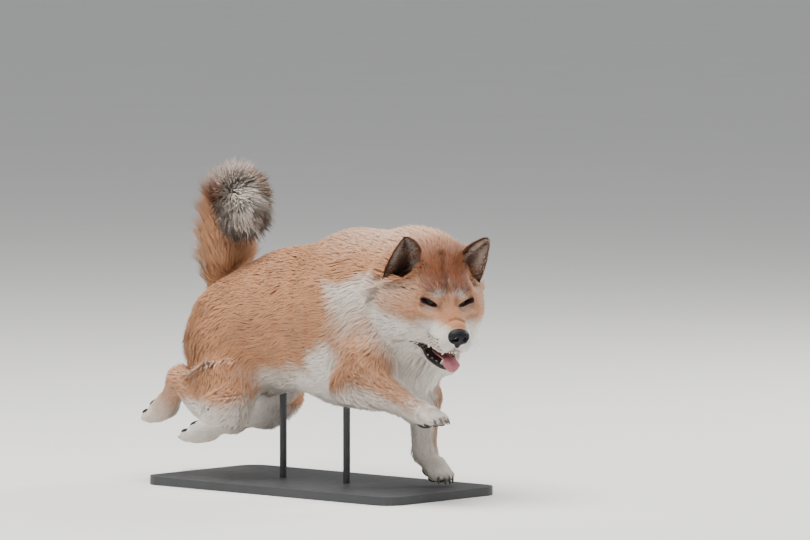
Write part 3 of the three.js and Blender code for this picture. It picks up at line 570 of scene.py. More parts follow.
def marks_at(p, normals, share):
    cream, dusk, deep, flesh = (np.zeros(len(p)) for _ in range(4))
    q = in_head(p)
    x, y, z = q[:, 0], np.abs(q[:, 1]), q[:, 2]
    wave = ripple(p, 46, 5)
    # head: white cheeks and muzzle sides, a red bridge, brow spots, a dark forehead with a crease
    cheek = smooth(-16, -36, z + 3 * wave + 0.1 * (x + 20)) * smooth(-96, -60, x)
    bridge = smooth(20, 13, y + 7 * smooth(20, 48, x)) * smooth(-36, -20, z) * smooth(58, 34, x)
    sides = smooth(2, 20, x) * smooth(-12, -26, z)
    white = np.clip(np.maximum(cheek, sides) - bridge, 0, 1)
    brow = np.exp(-(((x - 5) / 12) ** 2 + ((y - 16) / 9) ** 2 + ((z - 13) / 5) ** 2) * 1.2)
    below = np.exp(-(((x - 4) / 13) ** 2 + ((y - 27) / 8) ** 2 + ((z + 9) / 5) ** 2) * 1.2)
    white = np.clip(white + 0.7 * brow + 0.4 * below, 0, 1)
    forehead = smooth(9, 19, z) * smooth(-72, -40, x) * smooth(42, 24, y)
    crease = smooth(5, 1, y) * smooth(8, 16, z) * smooth(-44, -22, x)
    on = part_sum(share, "head", "jaw")
    cream += on * white
    redder = 1.2 * forehead + 0.4 * bridge * smooth(-10, 20, x) + 0.45 * smooth(24, 40, z)
    deep += on * np.clip(redder, 0, 1)
    dusk += on * np.clip(0.34 * forehead * (1 + 0.6 * ripple(p, 9, 8)) + 0.8 * crease, 0, 1)
    corner = np.exp(-(((x + 17) / 7) ** 2 + ((z + 59) / 6) ** 2)) * (z < -40)
    dusk += on * 0.5 * corner
    # rows of whisker dots on each side of the muzzle
    for row in range(4):
        for column in range(5):
            dot = (x - (22 + column * 6 + row * 1.5)) ** 2 + (z - (-36 - row * 4.2)) ** 2
            dusk += on * 0.95 * smooth(4.4, 1.2, dot)
    # neck, chest and trunk
    on = part_sum(share, "neck")
    front = smooth(304, 276, p[:, 2] + 9 * wave) * smooth(84, 112, p[:, 0] + 6 * wave)
    # The top of the neck is paler: a painted highlight on the nape.
    cream += on * np.clip(front + 0.25 * smooth(310, 345, p[:, 2]), 0, 1)
    on = share[:, [part["name"] == "torso" for part in parts]].sum(1)
    side_line = 152 + 42 * smooth(20, 110, p[:, 0])
    belly = smooth(side_line + 22, side_line - 12, p[:, 2] + 7 * wave)
    chest = smooth(120, 158, p[:, 0] + 8 * wave) * smooth(306, 280, p[:, 2])
    cream += on * np.maximum(belly, chest)
    back = smooth(280, 320, p[:, 2]) + 0.4 * smooth(0.1, 0.8, wave)
    dusk += on * np.clip(0.24 * back, 0, 1)
    # a dusky sheath under the belly
    spot = ((p[:, 0] + 82) / 11) ** 2 + ((p[:, 2] - 124) / 9) ** 2 + ((p[:, 1] + 8) / 12) ** 2
    dusk += on * 0.9 * np.exp(-spot)
    # legs: red outside, cream inside and toward the feet
    for side, inward in (("right", normals[:, 1]), ("left", -normals[:, 1])):
        inner = smooth(-0.25, 0.35, inward + 0.16 * wave)
        for kind, low in (("upper", 0), ("lower", 0.06)):
            for leg in ("foreleg", "hindleg"):
                on = part_sum(share, f"{leg}_{side}_{kind}")
                white = inner + low
                if leg == "hindleg":
                    under = smooth(104, 84, p[:, 2])
                    if side == "right":
                        under = smooth(126, 100, p[:, 2] + 6 * wave)
                    white = np.maximum(white, 0.9 * under * smooth(-190, -150, p[:, 0]))
                else:
                    under = smooth(0.2, -0.5, normals[:, 2])
                    white = np.maximum(white, 0.85 * under)
                cream += on * np.clip(white, 0, 1)
        on = part_sum(share, f"{side}_foot")
        cream += on * np.clip(inner + 0.15, 0, 1)
    cream += part_sum(share, "paw") * 0.96
    # tail: red, with cream behind, a deep red band in the curl and a pale tip to the brush
    on = part_sum(share, "tail")
    far = np.flatnonzero(on > 0.02)
    t, away, _ = tail_place(p[far])
    outside = unit(away)
    behind = smooth(0.1, 0.8, -outside[:, 0] * (1 - t) + outside[:, 2] * 0.9 * t)
    cream[far] += on[far] * np.clip(0.6 * behind + 0.7 * smooth(0.8, 0.92, t), 0, 0.85)
    ring = np.exp(-(((t - 0.68) / 0.13) ** 2))
    deep[far] += on[far] * ring
    # Under the curl the band is dusky: partly darker hair there, partly painted shade beneath the curl.
    dusk[far] += on[far] * 0.3 * ring * smooth(0.5, -0.5, outside[:, 2])
    return np.stack([np.clip(v, 0, 1) for v in (cream, dusk, deep, flesh)], 1)


marks = marks_at(skin_points, skin_normals, share)
marks[bare, 3] = 1


# Colours of skin and coat come from those strengths, and a hair's also from the place along it.
# The skin is dull hide, a little blotched, with dark flesh where it is bare
class Wire:
    """An output socket that Python's own operators write node maths with."""

    tree = None

    def __init__(self, socket):
        self.socket = socket

    @classmethod
    def node(cls, kind, settings=(), sockets=(), output=0):
        made = cls.tree.nodes.new(kind)
        for name, value in dict(settings).items():
            if name == "stops":
                ramp = made.color_ramp.elements
                for place, colour in value[2:]:
                    ramp.new(place).color = colour
                for stop, (place, colour) in zip(sorted(ramp, key=lambda e: e.position), sorted(value)):
                    stop.position, stop.color = place, colour
            else:
                setattr(made, name, value)
        for name, value in dict(sockets).items():
            if isinstance(value, Wire):
                cls.tree.links.new(value.socket, made.inputs[name])
            else:
                made.inputs[name].default_value = value
        return cls(made.outputs[output])

    def maths(self, operation, a, b=0.0):
        return Wire.node("ShaderNodeMath", {"operation": operation}, {0: a, 1: b})

    def __add__(self, other):
        return self.maths("ADD", self, other)

    def __radd__(self, other):
        return self.maths("ADD", other, self)

    def __sub__(self, other):
        return self.maths("SUBTRACT", self, other)

    def __rsub__(self, other):
        return self.maths("SUBTRACT", other, self)

    def __mul__(self, other):
        return self.maths("MULTIPLY", self, other)

    def __rmul__(self, other):
        return self.maths("MULTIPLY", other, self)

    def __pow__(self, other):
        return self.maths("POWER", self, other)


def mixed(factor, a, b, how="MIX"):
    sockets = {0: factor, 6: a, 7: b}
    settings = {"data_type": "RGBA", "blend_type": how, "clamp_factor": True}
    return Wire.node("ShaderNodeMix", settings, sockets, output=2)


def finish(colour, constants=(), **varying):
    """Joins colour, numbers and normals to the newest material's shader, as its last call."""
    tree = Wire.tree
    shader = tree.nodes["Principled BSDF"]
    for socket, value in {"Base Color": colour, **varying, **dict(constants)}.items():
        socket = socket.replace("_", " ")
        if isinstance(value, Wire):
            tree.links.new(value.socket, shader.inputs[socket])
        else:
            shader.inputs[socket].default_value = value


def material(name):
    made = bpy.data.materials.new(name)
    made.use_nodes = True
    Wire.tree = made.node_tree
    return made


def noise(scale, detail=3.0, output=0):
    place = Wire.node("ShaderNodeTexCoord", output=3)
    return Wire.node("ShaderNodeTexNoise", (), {"Vector": place, "Scale": scale, "Detail": detail}, output)


def bump(height, strength, distance):
    return Wire.node("ShaderNodeBump", (), {"Strength": strength, "Distance": distance, "Height": height})


RED, DEEP_RED = (0.53, 0.235, 0.105, 1), (0.20, 0.045, 0.009, 1)
CREAM, DUSK, FLESH = (0.86, 0.81, 0.74, 1), (0.10, 0.038, 0.019, 1), (0.045, 0.018, 0.018, 1)


def coat_colour():
    attribute = {"attribute_name": "marks"}
    strengths = Wire.node("ShaderNodeAttribute", attribute)
    parted = [Wire.node("ShaderNodeSeparateColor", (), {"Color": strengths}, output=k) for k in range(3)]
    colour = mixed(parted[2], RED, DEEP_RED)
    colour = mixed(parted[0], colour, CREAM)
    return mixed(parted[1], colour, DUSK), parted


skin_finish = material("coat_skin")
skin_colour, _ = coat_colour()
bare_flesh = Wire.node("ShaderNodeAttribute", {"attribute_name": "marks"}, output=3)
skin_colour = mixed(bare_flesh, skin_colour, FLESH)
skin_colour = mixed(0.4 * noise(160), skin_colour, (0.45, 0.34, 0.28, 1), "MULTIPLY")
finish(skin_colour, {"Roughness": 0.85}, Normal=bump(noise(420), 0.4, 0.0006))


def piece(name, points, faces, finishes, slot=None, replaced=(), smooth_faces=True):
    """A mesh piece from millimetres above the plate, that rides on the body."""
    mesh = bpy.data.meshes.new(name)
    mesh.from_pydata(metres(np.asarray(points)).tolist(), [], [list(map(int, face)) for face in faces])
    mesh.polygons.foreach_set("use_smooth", [smooth_faces] * len(mesh.polygons))
    mesh.update()
    mesh.materials.append(finishes)
    made = bpy.data.objects.new(name, mesh)
    bpy.context.scene.collection.objects.link(made)
    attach(made, "root")
    if replaced:
        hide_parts(*replaced)
    return made


def paint_points(made, name, values):
    layer = made.data.attributes.new(name, "FLOAT_COLOR", "POINT")
    layer.data.foreach_set("color", np.asarray(values, np.float32).ravel())


# Ears: cups of gristle under thin hide, with a thick rim, each open ahead and outward.
# They grow from the head, so they are joined to the skin and share its finish
def ear_point(side, t, u, rear):
    """A place on an ear: t up from root to tip, u across, rear 0 in the cup or 1 on its back."""
    t, u = np.broadcast_arrays(np.asarray(t, float), np.asarray(u, float))
    up = np.maximum(t, 0)
    round_tip = np.sqrt(np.clip(1 - (np.maximum(up - 0.84, 0) / 0.17) ** 2, 0, 1))
    swell = 6 * np.sin(np.pi * up) + 4.5 * up * round_tip
    outward = unit(EAR_OUTER - EAR_INNER)
    a = EAR_INNER + (EAR_TIP - EAR_INNER) * up[..., None] - outward * swell[..., None]
    b = EAR_OUTER + (EAR_TIP - EAR_OUTER) * up[..., None] + outward * swell[..., None]
    drop = (EAR_TIP - (EAR_INNER + EAR_OUTER) / 2) * np.minimum(t, 0)[..., None]
    ahead = -np.where(t < 0, 0.3, 1) * ear_hollow(t, u) - rear * EAR_THICK * (0.45 + 0.55 * (1 - up))
    flat = a + (b - a) * u[..., None] + drop + EAR_OPEN * ahead[..., None]
    return on_head(flat * [1, side, 1])


def bands(rows, around, first=0):
    """Squares between rings of points that follow one another."""
    faces = []
    for row in range(rows - 1):
        for k in range(around):
            a, b = first + row * around + k, first + row * around + (k + 1) % around
            faces.append((a, b, b + around, a + around))
    return faces


ear_rows = np.linspace(-0.3, 1, 30)
ear_across = np.linspace(0, 1, 19)
ear_points, ear_faces, ear_marks = [], [], []
for side in (1, -1):
    base = len(skin_points) + sum(len(p) for p in ear_points)
    for t in ear_rows:
        ear_points.append(ear_point(side, t, ear_across, 0))
        ear_points.append(ear_point(side, t, ear_across[::-1], 1))
        edge = np.abs(ear_across * 2 - 1)
        inside = smooth(0.95, 0.6, edge) * smooth(1, 0.7, t)
        # The cup darkens toward its middle and root: painted shade in its hollow.
        cup_shade_and_dusk = 0.9 * smooth(0.75, 0.25, edge) * smooth(0.8, 0.3, t)
        ear_marks.append(np.stack([0.6 * inside, 0.12 * inside + 0.75 * cup_shade_and_dusk, 1 - inside, cup_shade_and_dusk * 0.4], 1))
        ear_marks.append(np.stack([edge * 0, edge * 0 + 0.12, edge * 0 + 0.85, edge * 0], 1))
    n = 2 * len(ear_across)
    ear_faces += [face[::side] for face in bands(len(ear_rows), n, base)]
    last = base + (len(ear_rows) - 1) * n
    ear_faces.append(tuple(range(base, base + n))[::-side])
    ear_faces.append(tuple(range(last, last + n))[::side])
skin_faces = [tuple(face.vertices) for face in skin_mesh.polygons]
dog_skin = piece(
    "skin",
    np.concatenate([skin_points, *ear_points]),
    skin_faces + ear_faces,
    skin_finish,
    "coat_red",
    [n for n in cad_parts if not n.startswith(("stand", "eye", "nose", "tongue"))],
)
paint_points(dog_skin, "marks", np.concatenate([marks, *ear_marks]))

# The coat: dense plush hair in thin, bent tufts, rooted in the skin and lying back along the body.
# Each tuft is one closed blade of three sides, with a root ring, a middle ring and a tip
TUFTS, SPARE = 137000, 1.06
draw = np.random.default_rng(20011)


def lie_at(p, normals, share):
    """The way the hair runs at each point, along the skin."""
    q = in_head(p)
    total = np.zeros_like(p)
    for k, part in enumerate(parts):
        a, b = part["line"]
        if part["kind"] in ("head", "jaw"):
            way = unit(q - np.array([70, 0, -24])) @ HEAD.T
        elif part["kind"] == "neck":
            out = unit(p - on_head([[-20, 0, 0]]))
            way = unit(0.8 * out + np.array([-0.9, 0, -0.45]))
        elif part["kind"] == "torso":
            bib = (smooth(96, 150, p[:, 0]) * smooth(270, 200, p[:, 2]))[:, None]
            way = unit((1 - bib) * np.array([-1, 0, -0.3]) + bib * np.array([-0.35, 0, -1]))
        elif part["kind"] == "tail":
            way = np.zeros_like(p)
            far = np.flatnonzero(share[:, k] > 0.02)
            way[far] = tail_place(p[far])[2]
        else:
            way = np.tile(unit(b - a) + np.array([-0.25, 0, -0.1]) * (part["kind"] == "upper"), (len(p), 1))
        total += share[:, k : k + 1] * way
    total -= normals * (total * normals).sum(1, keepdims=True)
    return unit(total)


lie = lie_at(skin_points, skin_normals, share)
coat = coat_of(skin_points, share)
corners = np.array([f if len(f) == 4 else (*f, f[2]) for f in skin_faces if len(f) in (3, 4)])
halves = np.concatenate([corners[:, [0, 1, 2]], corners[corners[:, 2] != corners[:, 3]][:, [0, 2, 3]]])
halves = halves[~bare[halves].any(1)]
a, b, c = (skin_points[halves[:, k]] for k in range(3))
area = np.linalg.norm(np.cross(b - a, c - a), axis=1) / 2
weight = area * coat[halves, 3].mean(1)
picked = draw.choice(len(halves), int(TUFTS * SPARE), p=weight / weight.sum())
u, v = draw.random(len(picked)), draw.random(len(picked))
flip = u + v > 1
u[flip], v[flip] = 1 - u[flip], 1 - v[flip]
spread = np.stack([1 - u - v, u, v], 1)


def at_root(values):
    return (values[halves[picked]] * spread[:, :, None]).sum(1)


root, normal, way = at_root(skin_points), unit(at_root(skin_normals)), at_root(lie)
hair, tint, of_part = at_root(coat), at_root(marks), at_root(share)
turn = 0.2 * ripple(root, 70, 11) + draw.normal(0, 0.13, len(root))
aside = np.cross(normal, way)
way = unit(way * np.cos(turn)[:, None] + aside * np.sin(turn)[:, None])
aside = unit(np.cross(normal, way))
CLUMP, CLUMP_PULL, CLUMP_HAIR = 7.0, 0.3, 30
cell = np.floor(root / CLUMP).astype(int)
hashed = np.abs((cell @ np.array([73856093, 19349663, 83492791])) % 9973)
jitter = np.random.default_rng(3).random((9973, 3))[hashed]
drawn = (cell + 0.2 + 0.6 * jitter) * CLUMP - root
drawn -= normal * (drawn * normal).sum(1, keepdims=True)
long = hair[:, 1] * draw.uniform(0.78, 1.16, len(root))
rise = hair[:, 2] * draw.uniform(0.7, 1.3, len(root))
wide = hair[:, 4] * draw.uniform(0.8, 1.2, len(root))
ROOT_SUNK = 0.8
first = unit(way + normal * (1.5 * rise)[:, None])
final = unit(way + normal * (0.75 * rise)[:, None])
pull = drawn * (np.clip(long / CLUMP_HAIR, 0.08, 1) * CLUMP_PULL)[:, None]
sunk = root - normal * ROOT_SUNK
middle = root + first * (long * 0.5)[:, None] + pull * 0.4
tip = middle + final * (long * 0.5)[:, None] + pull * 0.6

# Hair stays clear of the plate, the eyes, the ears' cups, the mouth and the nose
PLATE_CLEAR, EYE_CLEAR, EAR_INSIDE, MOUTH_CLEAR, NOSE_CLEAR = 1.2, 0.7, -1.5, 0.4, 13.8
keep = tip[:, 2] > PLATE_CLEAR
for side in (1, -1):
    for point in (tip, middle, root):
        keep &= eye_gap(point, side, EYE_CLEAR) > 0
        keep &= ear_gap(point, side) > EAR_INSIDE
for point in (tip, middle):
    near = np.linalg.norm(point - HEAD_AT, axis=1) < HEAD_REACH
    keep &= ~(near & (mouth_gap(point) < MOUTH_CLEAR))
nose_at = on_head([58, 0, -28])
keep &= np.linalg.norm(root - nose_at, axis=1) > NOSE_CLEAR
# None stands in a closed crease, where less than so much of a probe's height is free
PROBE, PROBE_FREE = 8, 3
open_above = body_skin(root + normal * PROBE) - body_skin(root)
keep &= open_above > PROBE_FREE
kept = np.flatnonzero(keep)[:TUFTS]


def tuft_mesh(sunk, middle, tip, aside, normal, wide):
    """Corners of closed three-sided blades: 7 for each tuft."""
    w = (wide / 2)[:, None]
    ring = [(-1, -0.12), (1, -0.12), (0, 0.42)]
    low = [sunk + aside * w * x * 0.8 + normal * w * z for x, z in ring]
    mid = [middle + aside * w * x * 0.85 + normal * w * z * 0.9 for x, z in ring]
    return np.stack([*low, *mid, tip], 1)


FACES = [(0, 1, 4, 3), (1, 2, 5, 4), (2, 0, 3, 5), (3, 4, 6), (4, 5, 6), (5, 3, 6), (2, 1, 0)]
ALONG = np.array([0, 0, 0, 0.55, 0.55, 0.55, 1])
ACROSS = np.array([-1, 1, 0, -1, 1, 0, 0])
PATCH = 0.003


def chart(part, p):
    """Where a point falls on an unwrap round its part's own line: 0 to 1 around, 0 to 1 along."""
    if part["kind"] == "tail":
        t, away, heading = tail_place(p)
        north = unit(np.array([0, 1, 0]) - heading * heading[:, 1:2])
        east = np.cross(heading, north)
        return np.arctan2((away * east).sum(1), (away * north).sum(1)) / (2 * np.pi) + 0.5, t
    a, b = part["line"]
    axis = unit(b - a)
    north = unit(np.cross(axis, [0.13, 0.99, 0.05]))
    east = np.cross(axis, north)
    d = p - a
    around = np.arctan2(d @ east, d @ north) / (2 * np.pi) + 0.5
    return around, np.clip((d @ axis) / np.linalg.norm(b - a), -0.1, 1.1)


fur_finish = material("coat_fur")
fur_colour, strengths = coat_colour()
strand = Wire.node("ShaderNodeAttribute", {"attribute_name": "strand"})
along, chance, dusky = (
    Wire.node("ShaderNodeSeparateColor", (), {"Color": strand}, output=k) for k in range(3)
)
fur_colour = mixed(dusky * along**2, fur_colour, DUSK)
# Each hair is darker toward its root: painted shade among the tufts.
fur_colour = mixed(0.4 * (1 - along) ** 2, fur_colour, (0.4, 0.3, 0.24, 1), "MULTIPLY")
fur_colour = mixed(0.4 * chance, fur_colour, (0.6, 0.54, 0.5, 1), "MULTIPLY")
fur_colour = mixed(0.16 * (along**3) * (1 - strengths[2]), fur_colour, (0.9, 0.75, 0.58, 1))
finish(fur_colour, {"Roughness": 0.62, "Specular IOR Level": 0.3})


def coat_piece(name, which, columns):
    """Joins tufts into one mesh, with their marks, hair places and OFBake patches."""
    blades = tuft_mesh(sunk[which], middle[which], tip[which], aside[which], normal[which], wide[which])
    count = len(which)
    made = join_tufts(name, blades, tint[which], normal[which], chance_of[which], dusky_of[which])
    spot = np.zeros((count, 2))
    owner = of_part[which].argmax(1)
    for column, part_index in enumerate(columns):
        mine = np.flatnonzero(owner == part_index)
        if len(mine):
            around, up = chart(parts[part_index], root[which][mine])
            in_column = (column + 0.02 + 0.96 * around) / len(columns)
            spot[mine] = np.stack([in_column, 0.04 + 0.9 * (up + 0.1) / 1.2], 1)
    lay_patches(made, spot)
    return made


def join_tufts(name, blades, tints, normals, chances, duskies):
    """One mesh of many tufts, shaded as if each were round, riding on the body."""
    count = len(blades)
    mesh = bpy.data.meshes.new(name)
    mesh.vertices.add(count * 7)
    mesh.vertices.foreach_set("co", metres(blades.reshape(-1, 3)).astype(np.float32).ravel())
    loops = np.concatenate([np.array(f) for f in FACES])
    sizes = np.array([len(f) for f in FACES])
    starts = np.concatenate([[0], np.cumsum(sizes)[:-1]])
    mesh.loops.add(count * len(loops))
    mesh.polygons.add(count * len(FACES))
    offsets = np.arange(count)[:, None]
    mesh.loops.foreach_set("vertex_index", (offsets * 7 + loops).astype(np.int32).ravel())
    mesh.polygons.foreach_set("loop_start", (offsets * len(loops) + starts).astype(np.int32).ravel())
    mesh.polygons.foreach_set("use_smooth", np.ones(count * len(FACES), bool))
    mesh.update(calc_edges=True)
    mesh.validate()
    mesh.materials.append(fur_finish)
    made = bpy.data.objects.new(name, mesh)
    bpy.context.scene.collection.objects.link(made)
    paint_points(made, "marks", np.repeat(tints, 7, 0))
    hair_place = np.stack(
        [np.tile(ALONG, count), np.repeat(chances, 7), np.repeat(duskies, 7), np.ones(count * 7)], 1
    )
    paint_points(made, "strand", hair_place)
    rounded = np.array([[-1, 0.9], [1, 0.9], [0, 1]] * 2 + [[0, 1]])
    sides = unit(np.cross(normals, blades[:, 6] - blades[:, 0]))
    lean = sides[:, None] * rounded[None, :, :1] * 0.55
    soft_normals = unit(normals[:, None] * rounded[None, :, 1:] - lean)
    mesh.normals_split_custom_set_from_vertices(soft_normals.reshape(-1, 3).astype(np.float32))
    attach(made, "root")
    return made


def lay_patches(made, spot):
    """Each tuft's small patch on the bake map, at its root's place on the unwrap."""
    patches = made.data.uv_layers.new(name="OFBake")
    loops = np.concatenate([np.array(f) for f in FACES])
    shape = np.stack([(ACROSS[loops] * (1 - 0.6 * ALONG[loops]) + 1) / 2, ALONG[loops]], 1) * PATCH
    patches.data.foreach_set("uv", (spot[:, None] + shape[None]).astype(np.float32).ravel())


chance_of = draw.random(len(root)) ** 1.6
dusky_of = np.clip(draw.normal(0.06, 0.12, len(root)) + 0.14 * ripple(root, 34, 21), 0, 1)
dusky_of *= (1 - 0.9 * tint[:, 0]) * (1 - 0.4 * of_part[:, 0])
tint[:, 0] = np.clip(tint[:, 0] + draw.normal(0, 0.06, len(root)) * (tint[:, 0] > 0.04), 0, 1)
GROUPS = {
    "coat_head": ("head", "jaw"),
    "coat_neck": ("neck",),
    "coat_trunk": ("torso",),
    "coat_forelegs": ("foreleg",),
    "coat_hindlegs": ("hindleg",),
    "coat_tail": ("tail",),
}
MOST = 19000
owner = of_part[kept].argmax(1)
for group, words in GROUPS.items():
    columns = [k for k, part in enumerate(parts) if any(part["name"].startswith(w) for w in words)]
    which = kept[np.isin(owner, columns)]
    which = which[np.argsort(root[which] @ np.array([1.0, 0.2, 0.3]), kind="stable")]
    chunks = np.array_split(which, max(1, math.ceil(len(which) / MOST)))
    for number, chunk in enumerate(chunks):
        coat_piece(f"{group}_{number + 1}", chunk, columns)

# Ear hair: short red hair on the back and rim, long pale hairs across the cup, darker toward its middle as
# painted shade in its hollow.
# It is rooted in the ear's skin, in tufts of the same kind as the coat's
EAR_TUFTS, BACK_SHARE, RIM_SHARE = 5200, 0.6, 0.22
for side, name in ((1, "coat_ear_left"), (-1, "coat_ear_right")):
    count = EAR_TUFTS
    t, u = draw.uniform(-0.12, 0.985, count), draw.random(count)
    rear = (draw.random(count) < BACK_SHARE).astype(float)
    on_rim = draw.random(count) < RIM_SHARE
    u[on_rim] = np.where(draw.random(on_rim.sum()) < 0.5, 0.0, 1.0)
    start = ear_point(side, t, u, rear)
    up = unit(ear_point(side, t + 0.04, u, rear) - start)
    further, nearer = (ear_point(side, t, np.clip(u + step, 0, 1), rear) for step in (0.03, -0.03))
    over = further - nearer
    out = unit(np.cross(over, up)) * np.where(rear > 0.5, -1, 1)[:, None]
    out *= np.sign((out @ (HEAD @ (EAR_OPEN * [1, side, 1]))) * np.where(rear > 0.5, -1, 1))[:, None]
    toward = unit(ear_point(side, t, np.where(u < 0.5, 0.9, 0.1), 0) - ear_point(side, t, u * 0 + 0.5, 0))
    front = (rear < 0.5) & ~on_rim
    cup_hair, back_hair = draw.uniform(6, 13, count), draw.uniform(4.5, 7.5, count)
    size = np.where(front, cup_hair, back_hair) * (1 - 0.45 * np.clip(t, 0, 1))
    head_way = unit(up + out * np.where(front, 0.75, 0.3)[:, None] + draw.normal(0, 0.22, (count, 3)))
    head_way[front] = unit(head_way[front] + 0.35 * toward[front])
    side_way = unit(np.cross(out, up))
    base = start - out * 0.5
    mid = base + unit(head_way + 0.3 * out) * (size * 0.5)[:, None]
    end = mid + head_way * (size * 0.5)[:, None]
    edge = np.abs(u * 2 - 1)
    pale = np.where(front, smooth(0.2, 0.75, edge) * 0.85 * (draw.random(count) < 0.8), 0.0)
    pale = np.where(on_rim, 0.12, pale)
    # Cup hairs darken toward the cup's middle, painted shade in its hollow; back and rim hairs are a little
    # dusky.
    cup_shade_and_dusk = np.where(front, 0.85 * smooth(0.6, 0.2, edge), np.where(on_rim, 0.06, 0.1))
    colours = np.stack([pale, cup_shade_and_dusk, np.where(front, 0.4, 0.8), pale * 0], 1)
    blades = tuft_mesh(base, mid, end, side_way, out, np.where(front, 1.0, 1.5))
    made = join_tufts(name, blades, colours, out, draw.random(count), draw.random(count) * 0.3)
    in_half = 0.02 + 0.46 * u + 0.5 * (rear > 0.5)
    lay_patches(made, np.stack([in_half, 0.06 + 0.8 * np.clip(t + 0.1, 0, 1.1)], 1))

# Eyes: wet balls with a clear bulge ahead, dark brown round the pupil. They sit in sockets of the
# skin, deep behind dark rims that are drawn to narrow slits
eye_finish = material("eye")
gaze_colour = Wire.node("ShaderNodeAttribute", {"attribute_name": "gaze"})
gaze = Wire.node("ShaderNodeSeparateColor", (), {"Color": gaze_colour})
EYE_RINGS = [
    (0.0, (0.09, 0.07, 0.06, 1)),
    (0.70, (0.05, 0.03, 0.025, 1)),
    (0.76, (0.012, 0.006, 0.004, 1)),
    (0.84, (0.075, 0.028, 0.010, 1)),
    (0.93, (0.045, 0.016, 0.006, 1)),
    (0.95, (0.003, 0.002, 0.002, 1)),
]
iris = Wire.node("ShaderNodeValToRGB", {"stops": EYE_RINGS}, {"Fac": gaze})
streaks = mixed(0.4 * noise(900), iris, (0.3, 0.25, 0.2, 1), "MULTIPLY")
finish(streaks, {"Roughness": 0.08, "Specular IOR Level": 0.3, "IOR": 1.4})
EYE_ROWS, EYE_SIDES, EYE_BULGE, SOCKET_GAP = 32, 48, 0.05, 0.4
for side, name in ((1, "eye_left"), (-1, "eye_right")):
    centre = np.array(EYE_AT) * [1, side, 1]
    look = unit(eye_axes(side)[0] + np.array([0.35, 0, -0.12]))
    e1 = unit(np.cross(look, [0, 0, 1]))
    e2 = np.cross(look, e1)
    polar = np.linspace(0, np.pi, EYE_ROWS + 1)[1:-1]
    round_ = np.linspace(0, 2 * np.pi, EYE_SIDES, endpoint=False)
    rings = np.cos(polar)[:, None, None] * look + np.sin(polar)[:, None, None] * (
        np.cos(round_)[None, :, None] * e1 + np.sin(round_)[None, :, None] * e2
    )
    swell = 1 + EYE_BULGE * smooth(0.78, 1, np.cos(polar))[:, None, None]
    ball = np.concatenate([[look * (1 + EYE_BULGE)], (rings * swell).reshape(-1, 3), [-look]])
    faces = [(0, 1 + (k + 1) % EYE_SIDES, 1 + k) for k in range(EYE_SIDES)]
    faces += bands(len(polar), EYE_SIDES, 1)
    last = 1 + (len(polar) - 1) * EYE_SIDES
    faces += [(last + k, last + (k + 1) % EYE_SIDES, len(ball) - 1) for k in range(EYE_SIDES)]
    placed = on_head(centre + ball * (EYE_RADIUS - SOCKET_GAP))
    eye = piece(name + "_ball", placed, faces, eye_finish, "eye", [name])
    facing = np.clip(unit(ball) @ look, 0, 1)
    paint_points(eye, "gaze", np.stack([facing] * 3 + [facing * 0 + 1], 1))

# Eye rims and lips: bare black leather, moist and finely grained. Each is a rounded cord of it,
# fused to the hide round its opening
def pebbled(scale):
    place = Wire.node("ShaderNodeTexCoord", output=3)
    return Wire.node("ShaderNodeTexVoronoi", (), {"Vector": place, "Scale": scale})


leather = material("leather")
leather_colour = mixed(noise(300), (0.010, 0.009, 0.011, 1), (0.035, 0.031, 0.034, 1))
leather_shine = {"Roughness": 0.42, "Specular IOR Level": 0.25}
finish(leather_colour, leather_shine, Normal=bump(pebbled(900), 0.35, 0.0004))


def tube(path, radii, sides=8, closed=False, flat=1.0):
    """Points and faces of a round tube along a path of points."""
    path = np.asarray(path, float)
    n = len(path)
    radii = np.broadcast_to(radii, n)
    if closed:
        heading = unit(np.roll(path, -1, 0) - np.roll(path, 1, 0))
    else:
        heading = unit(np.gradient(path, axis=0))
    middle = path.mean(0)
    outward = path - middle if closed else np.tile([0.31, 0.52, 0.8], (n, 1))
    outward = unit(outward - heading * (outward * heading).sum(1, keepdims=True))
    up = np.cross(heading, outward)
    turn = np.arange(sides) / sides * 2 * np.pi
    points = path[:, None] + radii[:, None, None] * (
        np.cos(turn)[None, :, None] * outward[:, None] + flat * np.sin(turn)[None, :, None] * up[:, None]
    )
    faces = bands(n, sides)
    last = (n - 1) * sides
    if closed:
        faces += [(last + k, last + (k + 1) % sides, (k + 1) % sides, k) for k in range(sides)]
    else:
        faces += [tuple(range(sides))[::-1], tuple(range(last, n * sides))]
    return points.reshape(-1, 3), faces


def joined(*bodies):
    points, faces, base = [], [], 0
    for p, f in bodies:
        points.append(p)
        faces += [tuple(v + base for v in face) for face in f]
        base += len(p)
    return np.concatenate(points), faces


RIM_OUT, RIM_LIFT, RIM_RADIUS = 0.4, 0.75, 0.85
rims = []
for side in (1, -1):
    look, long_way, up_way = eye_axes(side)
    turn = np.linspace(0, 2 * np.pi, 48, endpoint=False)
    a = (EYE_HALF[0] + RIM_OUT) * np.cos(turn)
    b = (EYE_HALF[1] + RIM_OUT) * np.sin(turn) * np.where(np.sin(turn) > 0, 1, LOWER_LID) + EYE_RISE
    reach = EYE_RADIUS + RIM_LIFT
    ahead = np.sqrt(np.maximum(reach**2 - a * a - b * b, 1))
    centre = np.array(EYE_AT) * [1, side, 1]
    path = centre + a[:, None] * long_way + b[:, None] * up_way + ahead[:, None] * look
    rims.append(tube(on_head(path), RIM_RADIUS + 0.3 * np.abs(np.cos(turn)), closed=True))
piece("eye_rims", *joined(*rims), leather, "leather")


def lip_height(line, x):
    order = line[np.argsort(line[:, 0])]
    return np.interp(x, order[:, 0], order[:, 1])


